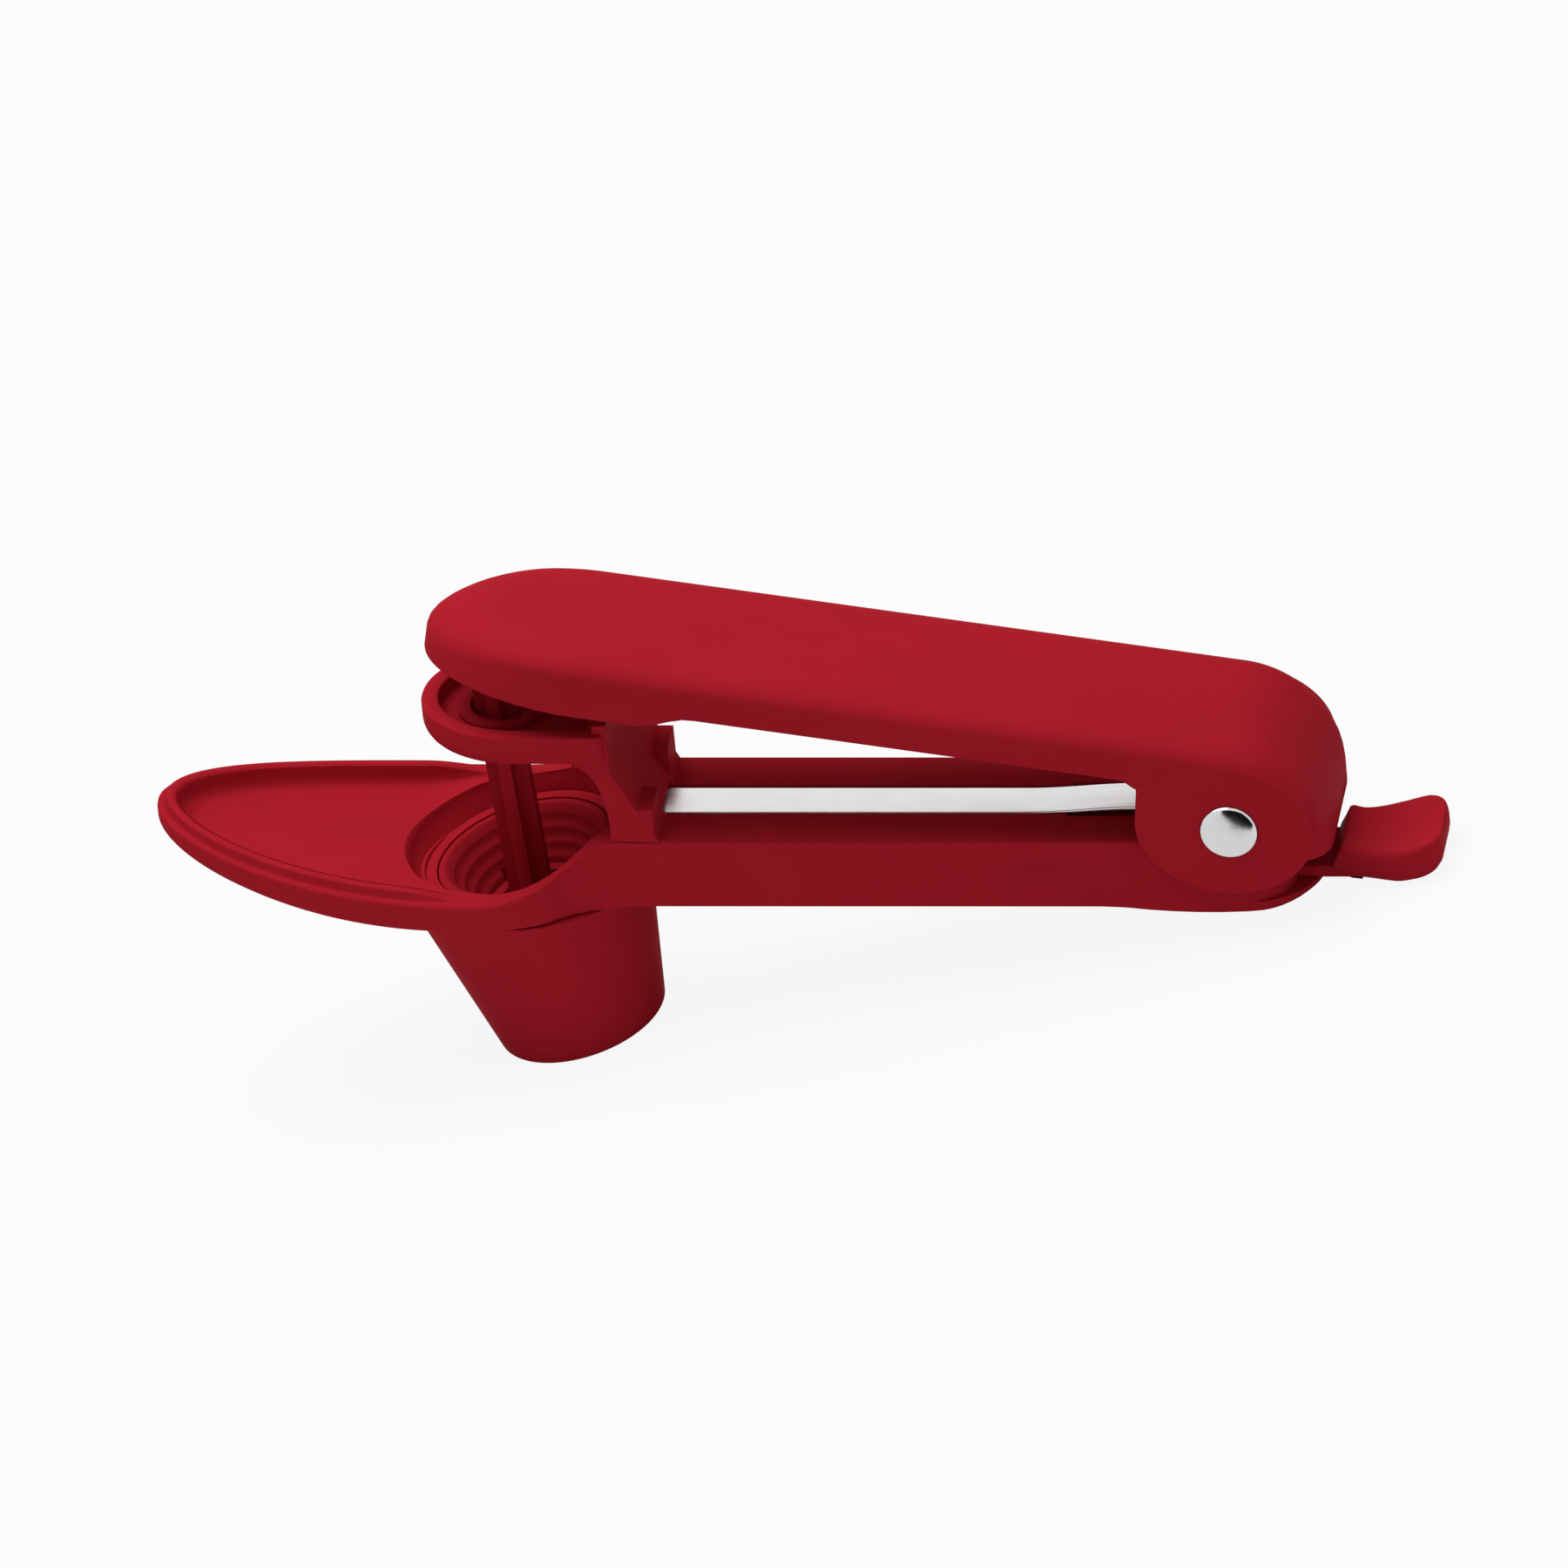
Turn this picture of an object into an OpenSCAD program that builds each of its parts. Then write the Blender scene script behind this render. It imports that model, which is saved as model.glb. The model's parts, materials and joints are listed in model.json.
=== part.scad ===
// Hand-held cherry pitter: sprung lever over a base with a loading tray, cup, pit chute and slide lock.
// Millimetres, +Z up. The origin is the middle of the chute's foot, and the pitting axis is the Z axis.
// The tool stands on the chute's foot and the tip of the lock, so its arm falls towards the pivot.
// Lengths along the arm start at its datum, close to where the pitting axis crosses the arm's top.

/* [Stance] */
// Drop from the arm's top face to the middle of the chute's foot
foot_drop = 38.2; // [34:0.1:44]
// Drop from the arm's top face to the lock's underside, near its tip
tail_drop = 9.8; // [9:0.1:11]
// Pitting axis from the arm's datum, where it crosses the arm's top face
axis_x = -0.6; // [-2:0.1:1]

/* [Arm] */
// Width of the arm
arm_w = 24; // [22:0.5:28]
// Depth of the arm
arm_h = 11.3; // [10:0.1:14]
// Arm's rear end from the datum
arm_rear = 118; // [117:0.1:118.2]
// Plan radius of the arm's rear corners, inside the open lever's corners
rear_round = 7; // [6.5:0.5:9]
// Depth of the arm under the pivot
heel_h = 12.3; // [11.8:0.1:13.5]
// Side radius under the pivot
heel_sweep = 100; // [70:5:140]
// Rear end of the heel below the lock
heel_end = 122; // [121:0.1:122.2]
// Wall of the arm's hollow underside
arm_wall = 2.8; // [2.4:0.1:3.2]
// Thickness of the ribs under the arm
rib_t = 1.6; // [1.2:0.1:2.4]
// Number of hollows under the arm
hollows = 4; // [3:1:6]
// Rear end of the hollows from the datum
hollow_end = 80; // [70:1:90]

/* [Tray] */
// Length of the tray's prow, ahead of its widest section
prow_len = 49; // [42:0.5:56]
// Widest section of the tray from the datum
tray_mid = -4; // [-6:0.5:-2]
// Width of the tray's outer band
tray_w = 40; // [38:0.5:46]
// Length over which the collar narrows to the arm
collar_len = 22; // [20:0.5:26]
// Length of the soft blend between the collar and the arm
collar_blend = 9; // [4:0.5:12]
// Level of the band's top edge below the arm's top
band_level = 6.3; // [5.5:0.1:7]
// Side radius of the band's rise to the tray's tip
band_sweep = 185; // [150:5:260]
// Side radius of the shoulder between collar and arm
shoulder_r = 24; // [20:0.5:30]
// Height of the tray's wall above the band
tray_wall_h = 1.5; // [1:0.1:2.5]
// Inset of the tray's wall from the band
tray_inset = 1.2; // [0.6:0.1:2]
// Thickness of the tray's wall
tray_wall = 1.9; // [1.4:0.1:3]
// Depth of the tray's floor below its rim
tray_depth = 3.1; // [2:0.1:3.4]
// Where the tray's underside starts to rise, from the datum
belly_x = -8; // [-16:0.5:-4]
// Side radius of the tray's underside
belly_sweep = 118; // [100:2:160]

/* [Cup and chute] */
// Depth of the cup's mouth below the arm's top, along the pitting axis
mouth_drop = 8.8; // [8.4:0.1:9.4]
// Height of the slope round the mouth
mouth_slope = 2.2; // [1.5:0.1:3]
// Radius of the cup's mouth in the base
mouth_r = 16.5; // [15.8:0.1:17]
// Outer radius of the seat's rim
seat_r = 13.4; // [12.6:0.1:13.8]
// Radius of the hole that the pit leaves by
pit_hole_r = 6.2; // [6:0.1:7]
// Depth of the cherry seat
seat_depth = 9; // [8:0.5:11]
// Number of grip steps in the seat
seat_steps = 4; // [3:1:5]
// Outer radius of the chute's foot
foot_r = 12.7; // [11.5:0.1:13.5]
// Outer radius of the chute at the height of the mouth
chute_r = 19.1; // [18:0.1:19.4]
// Wall of the chute
chute_wall = 1.8; // [1.4:0.1:2.4]
// Thickness of the chute's deck
deck_t = 2.2; // [1.6:0.1:3]
// Length of the chute's spigot below the mouth
spigot_h = 8; // [6:0.1:9]
// Thickness of the seat's rim
seat_flange = 1.7; // [1.2:0.1:2.2]
// Width of the ledge under the seat's rim
seat_ledge = 1.5; // [1:0.1:2]

/* [Pivot and lever] */
// Pivot from the datum, along the arm
pivot_x = 109.8; // [109:0.1:110.2]
// Pivot above the arm's top face
pivot_z = 3.5; // [3:0.1:4.5]
// Radius of the pivot pin
pin_r = 2.5; // [2:0.1:3]
// Radius of the pin's head and cap
pin_head_r = 4.4; // [3.8:0.1:5]
// Radius of the base's pivot lugs
lug_r = 6.5; // [5.5:0.1:7]
// Angle of the lever above the arm when it is pressed down
lever_rest = 9.35; // [8.5:0.05:10.5]
// Width of the lever
lever_w = 28.8; // [28:0.1:31]
// Wall of the lever
lever_wall = 2; // [1.6:0.1:2.2]
// Lever's front end ahead of the pivot
lever_front = 122.2; // [121:0.1:125]
// Lever's rear end behind the pivot
lever_rear = 15.4; // [15:0.1:16]
// Length of the lever's rounded front in plan
nose_len = 24; // [18:0.5:30]
// Plan radius of the lever's rear corners
tail_round = 9; // [6:0.5:10]
// Top of the lever above the pivot
lever_top = 13.5; // [13:0.1:15]
// Side radius of the lever's rear end
roll_r = 15; // [14:0.5:18]
// How much longer the rounding of the front edge is than the side's
nose_soft = 2.4; // [1:0.1:2.6]
// Lower edge of the lever's rear wall below the pivot
rear_low = 4; // [3.4:0.1:4.2]
// Lower edge of the lever's cheeks above the pivot
cheek_low = 6.1; // [5.6:0.1:7.4]
// Extra depth of the skirt at the lever's head
skirt_drop = 2.3; // [1:0.1:2.8]
// Radius of the edge between the lever's top and cheeks
top_round = 3.6; // [3:0.1:5]
// Radius of the lever's side lobes round the pin
lobe_r = 14; // [12.6:0.1:14.4]
// Height of the lobes' middle above the pin
lobe_rise = 2.9; // [2:0.1:3.5]
// How far the lobes stop short of the lever's top and rear
lobe_inset = 2.3; // [1.6:0.1:3]

/* [Plunger] */
// Lean of the plunger from the arm's normal when pressed down, degrees
plunger_lean = 4; // [3:0.5:5]
// Plunger's crossing of the guide from the datum
plunger_x = -0.24; // [-0.5:0.01:0.1]
// Span across the plunger's fins
fin_span = 6.6; // [5:0.1:7]
// Thickness of a fin
fin_t = 2; // [1.4:0.1:2.6]
// Reach of the plunger below the arm's top
plunger_reach = 22; // [20:0.5:23]
// Radius of the plunger's shank in the lever
shank_r = 3; // [2.5:0.1:3.2]

/* [Stripper bracket] */
// Width of the stripper plate
plate_w = 26; // [25:0.5:28]
// Front end of the plate from the datum
plate_front = -11.6; // [-14:0.1:-11]
// Rear end of the plate from the datum
plate_rear = 17.2; // [16.5:0.1:18]
// Underside of the plate above the arm
plate_z = 14.6; // [14:0.1:15]
// Height of the plate's rim
rim_h = 4.3; // [3:0.1:4.8]
// Radius of the plate's lower edge
plate_round = 3; // [1.5:0.1:3.2]
// Thickness of the plate's floor and rim
plate_t = 1.6; // [1.2:0.1:2]
// Rear edge of the bracket's feet
foot_rear = 24; // [23:0.1:25]
// Length of the bracket's feet
foot_len = 7.2; // [6.5:0.1:8]
// Thickness of the bracket's side legs
leg_t = 2.2; // [1.8:0.1:3]
// Inner radius of the guide bush
guide_r = 4.9; // [4.8:0.1:5.4]
// Wall of the guide bush
guide_wall = 1.3; // [0.8:0.1:1.6]
// Length of the guide bush below the plate
guide_drop = 1.8; // [1:0.1:2]

/* [Leaf spring] */
// Width of the leaf
leaf_w = 7.2; // [6:0.1:7.6]
// Thickness of the leaf
leaf_t = 0.8; // [0.5:0.1:1]
// Clamped end of the leaf from the datum
leaf_x = 15.5; // [14.5:0.1:16]
// Free end of the leaf from the datum
leaf_end = 98.5; // [97:0.1:99]
// Rise of the leaf's free end
leaf_rise = 1.4; // [0.8:0.1:1.6]
// Lift of the leaf under the bracket when the lever is open
leaf_lift = 0.5; // [0.4:0.1:0.8]

/* [Slide lock] */
// Tip of the lock from the datum
lock_end = 139.8; // [137:0.1:144]
// Width of the lock's tongue
tongue_w = 11; // [8:0.2:12]
// Thickness of the lock's tongue
tongue_t = 2; // [1.6:0.1:2.2]
// Top of the tongue below the arm's top
tongue_top = 8.2; // [8.2:0.1:8.4]
// Width of the thumb tab at its front
tab_neck_w = 12; // [10:0.2:14]
// Width of the thumb tab at its end
tab_w = 15.6; // [14:0.2:17]
// Rake of the neck's front, over its height
neck_rake = 1.6; // [1:0.1:2]
// Front of the tab's top below the arm's top
tab_top = 4.3; // [4.2:0.1:5]
// Lip at the tab's end below the arm's top
tab_lip = 2.7; // [2.4:0.1:3.4]
// Radius of the dished thumb face
dish_r = 21; // [16:0.5:30]
// Travel of the lock
lock_travel = 1.5; // [1:0.1:1.6]

/* [Fasteners] */
// Radius of the screws
screw_r = 1.5; // [1.2:0.1:1.8]
// Radius of the screws' heads
screw_head_r = 2.7; // [2.4:0.1:3]
// Height of the screws' heads
screw_head_h = 1.8; // [1.4:0.1:2.2]
// Length of screw in the bracket's feet
screw_bite = 4.2; // [3:0.1:5]
// Bracket screws from the arm's side
screw_edge = 3.4; // [3.2:0.1:4]
// Radius of the cross pin in the plunger
plunger_pin_r = 0.9; // [0.7:0.1:1.2]
// Radius of the lock's stop pin
lock_pin_r = 1.2; // [1:0.1:1.5]
// Lock's stop pin from the datum
lock_pin_x = 112; // [110:0.5:113]
// Radius of the pivot washers
washer_r = 6; // [5:0.1:6.4]
// Thickness of the pivot washers
washer_t = 0.8; // [0.5:0.1:1]

/* [Fits] */
// Running clearance round turning and sliding pins
run_fit = 0.05; // [0.02:0.01:0.08]
// Clearance between pieces that are pushed together
slip_fit = 0.1; // [0.05:0.01:0.2]
// Clearance between pieces that pass each other
pass_fit = 0.4; // [0.35:0.05:0.5]

/* [Hidden] */
$fn = 64;
arm_half = arm_w / 2;
tray_half = tray_w / 2;
lever_half = lever_w / 2;
ear_in = lever_half - lever_wall;
lug_out = ear_in - slip_fit - washer_t;
lug_in = lug_out - 4.5;
// the arm's slope when the chute's foot and the lock's tip stand on one table
tail_x = lock_end - 2 - axis_x;
slope = (tail_x - sqrt(pow(tail_x, 2) - 4 * foot_drop * (foot_drop - tail_drop))) / (2 * foot_drop);
stance = atan(slope);
foot_x = axis_x + foot_drop * slope;
mouth_z = foot_drop / cos(stance) - mouth_drop;
// level of the chute's deck, under the base
deck_z = -arm_h;
// the plunger leans in the lever's own frame, and drifts to and fro in the guide as the lever turns
plunger_tilt = plunger_lean + lever_rest;
plunger_level = plate_z - 0.6;
boss_r = shank_r + 2;
guide_x = plunger_x + 0.82;
groove_w = leaf_w + 2 * pass_fit;
screw_x = leaf_x + 3;
foot_mid = foot_rear - foot_len / 2;
tongue_low = tongue_top + tongue_t;

// Placing

// from the arm's frame, with its top face and datum at zero, to the standing frame
module arm_frame() rotate([0, stance, 0]) translate([-foot_x, 0, foot_drop]) children();
// from the standing frame back to the arm's frame, for cuts along the pitting axis
module standing() translate([foot_x, 0, -foot_drop]) rotate([0, -stance, 0]) children();
// from the lever's frame, with the pin at its origin
module lever_frame() arm_frame() translate([pivot_x, 0, pivot_z]) rotate([0, lever_rest, 0]) children();
// a side view outline pushed across the tool
module across(points, width = 80) rotate([90, 0, 0]) linear_extrude(height = width, center = true)
    polygon(points);
// a cylinder lying across the tool
module cross_pin(r, w) rotate([90, 0, 0]) cylinder(r = r, h = w, center = true);
// both sides of the tool
module both() { children(); mirror([0, 1, 0]) children(); }

function reversed(list) = [for (i = [len(list) - 1 : -1 : 0]) list[i]];
function mirrored(list) = [for (p = reversed(list)) [p[0], -p[1]]];
function closed_plan(half) = concat(half, mirrored(half));

// Base outlines

// a point on the collar, and the corner where the collar meets the arm's side
function collar_point(t, d) = [tray_mid + (collar_len - d) * cos(t), (tray_half - d) * sin(t)];
function corner_t(d) = asin((arm_half - d) / (tray_half - d));
function corner_x(d) = collar_point(corner_t(d), d)[0];
// a soft curve from a to c, drawn towards b
function blend(a, b, c) = [for (k = [0 : 0.125 : 1])
    (1 - k) * (1 - k) * a + 2 * k * (1 - k) * b + k * k * c];
// half of the base's plan, drawn in by d
function base_half(d) = concat(
    [for (t = [0 : 15 : 90]) [arm_rear - rear_round + (rear_round - d) * cos(t),
                              arm_half - rear_round + (rear_round - d) * sin(t)]],
    blend([corner_x(d) + collar_blend, arm_half - d], [corner_x(d), arm_half - d],
        collar_point(corner_t(d) + 22, d)),
    [for (t = [corner_t(d) + 26 : 6 : 89]) collar_point(t, d)],
    [for (t = [90 : 5 : 175]) [tray_mid + (prow_len - d) * cos(t), (tray_half - d) * sin(t)]]);
function base_plan(d) = concat(base_half(d), [[tray_mid - prow_len + d, 0]], mirrored(base_half(d)));

dip_x = tray_mid + 1;
rise_x = dip_x + sqrt(pow(shoulder_r, 2) - pow(shoulder_r - band_level, 2));
tip_x = tray_mid - prow_len;
// heights of the band's top, the tray's rim and the underside along the arm
function band_z(x) = x < dip_x ? -band_level + pow(x - dip_x, 2) / (2 * band_sweep)
    : -band_level + shoulder_r - sqrt(pow(shoulder_r, 2) - pow(min(x, rise_x) - dip_x, 2));
function rim_z(x) = band_z(x) + tray_wall_h * min(1, max(0, (dip_x - 2 - x) / 10));
function belly_z(x) = -arm_h + pow(min(x - belly_x, 0), 2) / (2 * belly_sweep);

side_x = [for (i = [0 : 18]) tip_x - 1 + (dip_x - tip_x + 1) * i / 18];
shoulder_x = [for (i = [1 : 10]) dip_x + (rise_x - dip_x) * i / 10];
band_side = concat(
    [for (x = side_x) [x, band_z(x)]], [for (x = shoulder_x) [x, band_z(x)]],
    [[arm_rear + 1, 0], [arm_rear + 1, -arm_h]],
    [for (i = [18 : -1 : 0]) let (x = tip_x - 1 + (belly_x - tip_x + 1) * i / 18) [x, belly_z(x)]]);
// the heel sweeps down under the pivot and reaches back below the lock
heel_x = pivot_x - 4;
heel_back = heel_end - heel_x;
heel_side = concat([[heel_x - heel_back, -tongue_low - slip_fit], [heel_end, -tongue_low - slip_fit]],
    [for (i = [8 : -1 : -8]) let (x = heel_back * i / 8) [heel_x + x, -heel_h + x * x / (2 * heel_sweep)]]);
heel_half = concat([for (t = [0 : 9 : 90]) [heel_end - 10 + 10 * cos(t), arm_half * sin(t)]],
    [[0, arm_half]]);
rim_side = concat([for (x = side_x) [x, rim_z(x)]], [for (x = reversed(side_x)) [x, band_z(x) - 1]]);
floor_side = concat([for (x = side_x) [x, rim_z(x) - tray_depth]], [[dip_x, 20], [tip_x - 1, 20]]);

// the cup's mouth, cut along the pitting axis
spigot_r = seat_r + chute_wall;
spigot_bore = spigot_r + 2 * slip_fit;
module mouth_cut() standing() {
    translate([0, 0, mouth_z - spigot_h - 4]) cylinder(r = spigot_bore, h = spigot_h + 6, $fn = 96);
    translate([0, 0, mouth_z]) cylinder(r1 = spigot_bore, r2 = mouth_r, h = mouth_slope, $fn = 96);
    translate([0, 0, mouth_z + mouth_slope - 0.01]) cylinder(r = mouth_r, h = 20, $fn = 96);
}

// Base: tray, collar, arm, heel and pivot lugs in one moulding
module base_body() color("firebrick") arm_frame() difference() {
    union() {
        intersection() {
            translate([0, 0, -30]) linear_extrude(height = 60) polygon(base_plan(0));
            across(band_side);
        }
        intersection() {
            translate([0, 0, -30]) linear_extrude(height = 60) polygon(base_plan(tray_inset));
            across(rim_side);
        }
        intersection() {
            translate([0, 0, -30]) linear_extrude(height = 60) polygon(closed_plan(heel_half));
            across(heel_side);
        }
        // lugs that carry the pin
        both() translate([pivot_x, (lug_in + lug_out) / 2, pivot_z]) {
            cross_pin(lug_r, lug_out - lug_in);
            translate([-lug_r, (lug_in - lug_out) / 2, -pivot_z - 1])
                cube([2 * lug_r, lug_out - lug_in, pivot_z + 1]);
        }
    }
    // the tray's hollow
    intersection() {
        translate([0, 0, -30]) linear_extrude(height = 60) polygon(base_plan(tray_inset + tray_wall));
        across(floor_side);
    }
    mouth_cut();
    // the groove that the leaf lies in, deeper under its free length, and the pocket under its tip
    translate([leaf_x - slip_fit, -groove_w / 2, leaf_low]) cube([leaf_end + 2 - leaf_x, groove_w, 9]);
    translate([foot_rear + 1, -groove_w / 2, leaf_low - pass_fit])
        cube([leaf_end + 1 - foot_rear, groove_w, 9]);
    translate([leaf_end - 14.5, -groove_w / 2 - 0.6, -3.4]) cube([17, groove_w + 1.2, 12]);
    // moulded hollows under the arm, with cross ribs left standing
    for (i = [0 : hollows - 1])
        translate([foot_rear + 3 + i * hollow_pitch, arm_wall - arm_half, -arm_h - 1])
        cube([hollow_pitch - rib_t, arm_w - 2 * arm_wall, arm_h + 1 - arm_wall]);
    // bores for the pin, the bracket's screws, the spring's screw and the lock's stop
    translate([pivot_x, 0, pivot_z]) cross_pin(pin_r + 0.02, 2 * arm_w);
    both() translate([pivot_x, lug_out + washer_t / 2 + 0.5, pivot_z])
        cross_pin(washer_r + pass_fit, washer_t + 1);
    both() translate([foot_mid, arm_half - screw_edge, -arm_h - 1]) {
        cylinder(r = screw_head_r + slip_fit, h = arm_h + 1 - arm_wall);
        cylinder(r = screw_r + slip_fit, h = arm_h + 8);
    }
    translate([screw_x, 0, leaf_low - 5]) cylinder(r = screw_r, h = 12);
    // the lock's slot and its stop
    translate([lock_in - lock_travel - pass_fit, -tongue_w / 2 - slip_fit, -tongue_low - slip_fit])
        cube([40, tongue_w + 2 * slip_fit, tongue_t + 2 * slip_fit]);
    translate([lock_pin_x, 0, -heel_h - 1]) cylinder(r = lock_pin_r + 0.02, h = heel_h - tongue_top + 2);
}
leaf_low = -leaf_t - 0.1;
hollow_pitch = (hollow_end - foot_rear - 3) / hollows;

// Cherry seat: stepped funnel that holds the fruit over the pit hole
seat_run = (seat_r - 1.8 - pit_hole_r - 1) / seat_steps;
seat_fall = (seat_depth - 1.4) / seat_steps;
seat_wall = [for (i = [0 : seat_steps - 1]) each [
    [seat_r - 1.8 - i * seat_run, mouth_z - 0.8 - i * seat_fall],
    [seat_r - 1.8 - i * seat_run - 0.35, mouth_z - 0.8 - (i + 0.75) * seat_fall]]];
module cherry_seat() color("indianred") difference() {
    rotate_extrude($fn = 96) polygon(concat(
        [[seat_r, mouth_z - seat_flange], [seat_r, mouth_z - 0.5], [seat_r - 0.5, mouth_z]],
        [[seat_r - 1.2, mouth_z]], seat_wall,
        [[pit_hole_r, mouth_z - seat_depth + 0.6], [pit_hole_r, mouth_z - seat_depth]],
        [[pit_hole_r + 1.8, mouth_z - seat_depth],
            [seat_r - seat_ledge - slip_fit, mouth_z - seat_flange]]));
    // slots that let the seat's lower fingers give
    for (a = [45 : 90 : 315]) rotate([0, 0, a]) translate([0, -0.6, mouth_z - seat_depth - 1])
        cube([pit_hole_r + 2.4, 1.2, seat_depth - 2.6]);
}

// Pit chute: tapered spout with a spigot in the base and a ledge for the seat
chute_h = mouth_z + 8;
chute_top = foot_r + (chute_r - foot_r) * chute_h / mouth_z;
// everything below a level of the arm
module below(level) arm_frame() translate([-100, -50, level - 100]) cube([200, 100, 100]);
module pit_chute() color("brown") difference() {
    union() {
        intersection() {
            cylinder(r1 = foot_r, r2 = chute_top, h = chute_h, $fn = 128);
            below(deck_z);
        }
        translate([0, 0, mouth_z - spigot_h]) cylinder(r = spigot_r, h = spigot_h, $fn = 96);
    }
    // the hollow follows the outside, up to the deck
    difference() {
        intersection() {
            cylinder(r1 = foot_r - chute_wall, r2 = chute_top - chute_wall, h = chute_h, $fn = 128);
            below(deck_z - deck_t);
            translate([-50, -50, -1]) cube([100, 100, mouth_z - seat_flange - 0.6]);
        }
        difference() {
            translate([0, 0, mouth_z - spigot_h]) cylinder(r = spigot_r, h = spigot_h + 4, $fn = 96);
            translate([0, 0, mouth_z - spigot_h - 1])
                cylinder(r = seat_r - seat_ledge, h = spigot_h + 6, $fn = 96);
        }
    }
    translate([0, 0, -1]) cylinder(r = foot_r - chute_wall, h = 2);
    translate([0, 0, mouth_z - spigot_h - 1]) cylinder(r = seat_r - seat_ledge, h = 20, $fn = 96);
    translate([0, 0, mouth_z - seat_flange]) cylinder(r = seat_r + slip_fit, h = 20, $fn = 96);
}

// Stripper bracket: dished plate over the cup on two legs and a sloped web
plate_half = plate_w / 2;
plate_nose = plate_half + 2;
function plate_outline(d) = closed_plan(concat([[plate_rear - d, 0], [plate_rear - d, plate_half - d]],
    [for (t = [90 : 6 : 174])
        [plate_front + plate_nose + (plate_nose - d) * cos(t), (plate_half - d) * sin(t)]],
    [[plate_front + d, 0]]));
foot_front = foot_rear - foot_len;
web_top = plate_z + rim_h + 1.5;
web_x = plate_rear + 0.5;
// the leg leaves the plate in a curve and stands upright on the arm
leg_side = concat([for (t = [0 : 10 : 90]) [plate_rear - 5.2 + (foot_front - plate_rear + 5.2) * sin(t),
        plate_z - (plate_z - 2) * (1 - cos(t))]],
    [[foot_front, 0], [foot_rear, 0], [web_x, plate_z - 0.9], [web_x, web_top], [web_x - leg_t, web_top],
    [web_x - leg_t, plate_z]]);
web_side = [[foot_rear - leg_t, 0], [foot_rear, 0], [web_x, plate_z - 0.9], [web_x, web_top],
    [web_x - leg_t, web_top], [web_x - leg_t, plate_z - 0.9]];
slot_h = leaf_lift + pass_fit;
module stripper_bracket() color("crimson") arm_frame() difference() {
    union() {
        // the plate's outside is round below, like a shallow bowl
        hull() for (t = [0 : 22.5 : 90]) translate([0, 0, plate_z + plate_round * (1 - cos(t))])
            linear_extrude(height = rim_h - plate_round) polygon(plate_outline(plate_round * (1 - sin(t))));
        // side legs and the sloped web between them
        both() translate([0, arm_half - leg_t / 2, 0]) across(leg_side, leg_t);
        across(web_side, arm_w);
        // feet that take the screws
        both() translate([foot_front, groove_w / 2 + 1.2, 0])
            cube([foot_len - 0.6, arm_half - groove_w / 2 - 1.4, 5.5]);
    }
    translate([0, 0, plate_z + plate_t]) linear_extrude(height = 20) polygon(plate_outline(plate_t + 1));
    // guide hole, the leaf's slot, the clamp screw's pocket and the screws' pilot holes
    translate([guide_x, 0, 0]) cylinder(r = guide_r + guide_wall, h = 40);
    translate([0, -groove_w / 2, -1]) cube([foot_rear + 8, groove_w, 1 + slot_h]);
    translate([screw_x, 0, -1]) cylinder(r = screw_head_r + pass_fit, h = 6);
    both() translate([foot_mid, arm_half - screw_edge, -1]) cylinder(r = screw_r, h = screw_bite + 1.4);
}

// Guide bush: flanged collar in the plate that the plunger passes through
module guide_bush() color("darkred") arm_frame() translate([guide_x, 0, plate_z]) difference() {
    union() {
        translate([0, 0, -guide_drop]) cylinder(r = guide_r + guide_wall, h = guide_drop + plate_t + 0.1);
        translate([0, 0, plate_t]) cylinder(r = guide_r + guide_wall + 0.7, h = 1.1);
    }
    translate([0, 0, -guide_drop - 1]) cylinder(r = guide_r, h = 14);
}

// Screws that hold the bracket to the arm
module screw_cross(r) for (a = [0, 90]) rotate([0, 0, a]) cube([1.2 * r, 0.3 * r, 1.6], center = true);
module bracket_screws() color("silver") arm_frame()
    both() translate([foot_mid, arm_half - screw_edge, -arm_wall]) difference() {
        union() {
            translate([0, 0, -screw_head_h]) cylinder(r = screw_head_r, h = screw_head_h);
            cylinder(r = screw_r, h = arm_wall + screw_bite);
        }
        translate([0, 0, -screw_head_h]) screw_cross(screw_head_r);
    }

// Leaf spring: flat strip clamped under the bracket, its free end under the lever
leaf_line = [[leaf_x, 0], [leaf_end - 20.5, 0], [leaf_end - 12.5, leaf_rise * 0.4],
    [leaf_end - 5.5, leaf_rise], [leaf_end, leaf_rise]];
leaf_side = concat([for (p = leaf_line) [p[0], p[1] + leaf_low]],
    [for (p = reversed(leaf_line)) [p[0], p[1] + leaf_low + leaf_t]]);
module leaf_spring() color("lightgray") arm_frame() difference() {
    across(leaf_side, leaf_w);
    translate([screw_x, 0, -5]) cylinder(r = screw_r + pass_fit, h = 10);
    // clipped corners of the free end
    both() translate([leaf_end, leaf_w / 2, -3]) rotate([0, 0, 45]) cube([4, 4, 12], center = true);
}

// Screw that clamps the leaf's end
module spring_screw() color("silver") arm_frame() translate([screw_x, 0, pass_fit - 0.1]) difference() {
    union() {
        cylinder(r = screw_head_r, h = screw_head_h - 0.3);
        translate([0, 0, leaf_low - 5]) cylinder(r = screw_r - 0.02, h = 6);
    }
    translate([0, 0, screw_head_h - 0.3]) screw_cross(screw_head_r);
}

// Lever outlines

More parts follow.
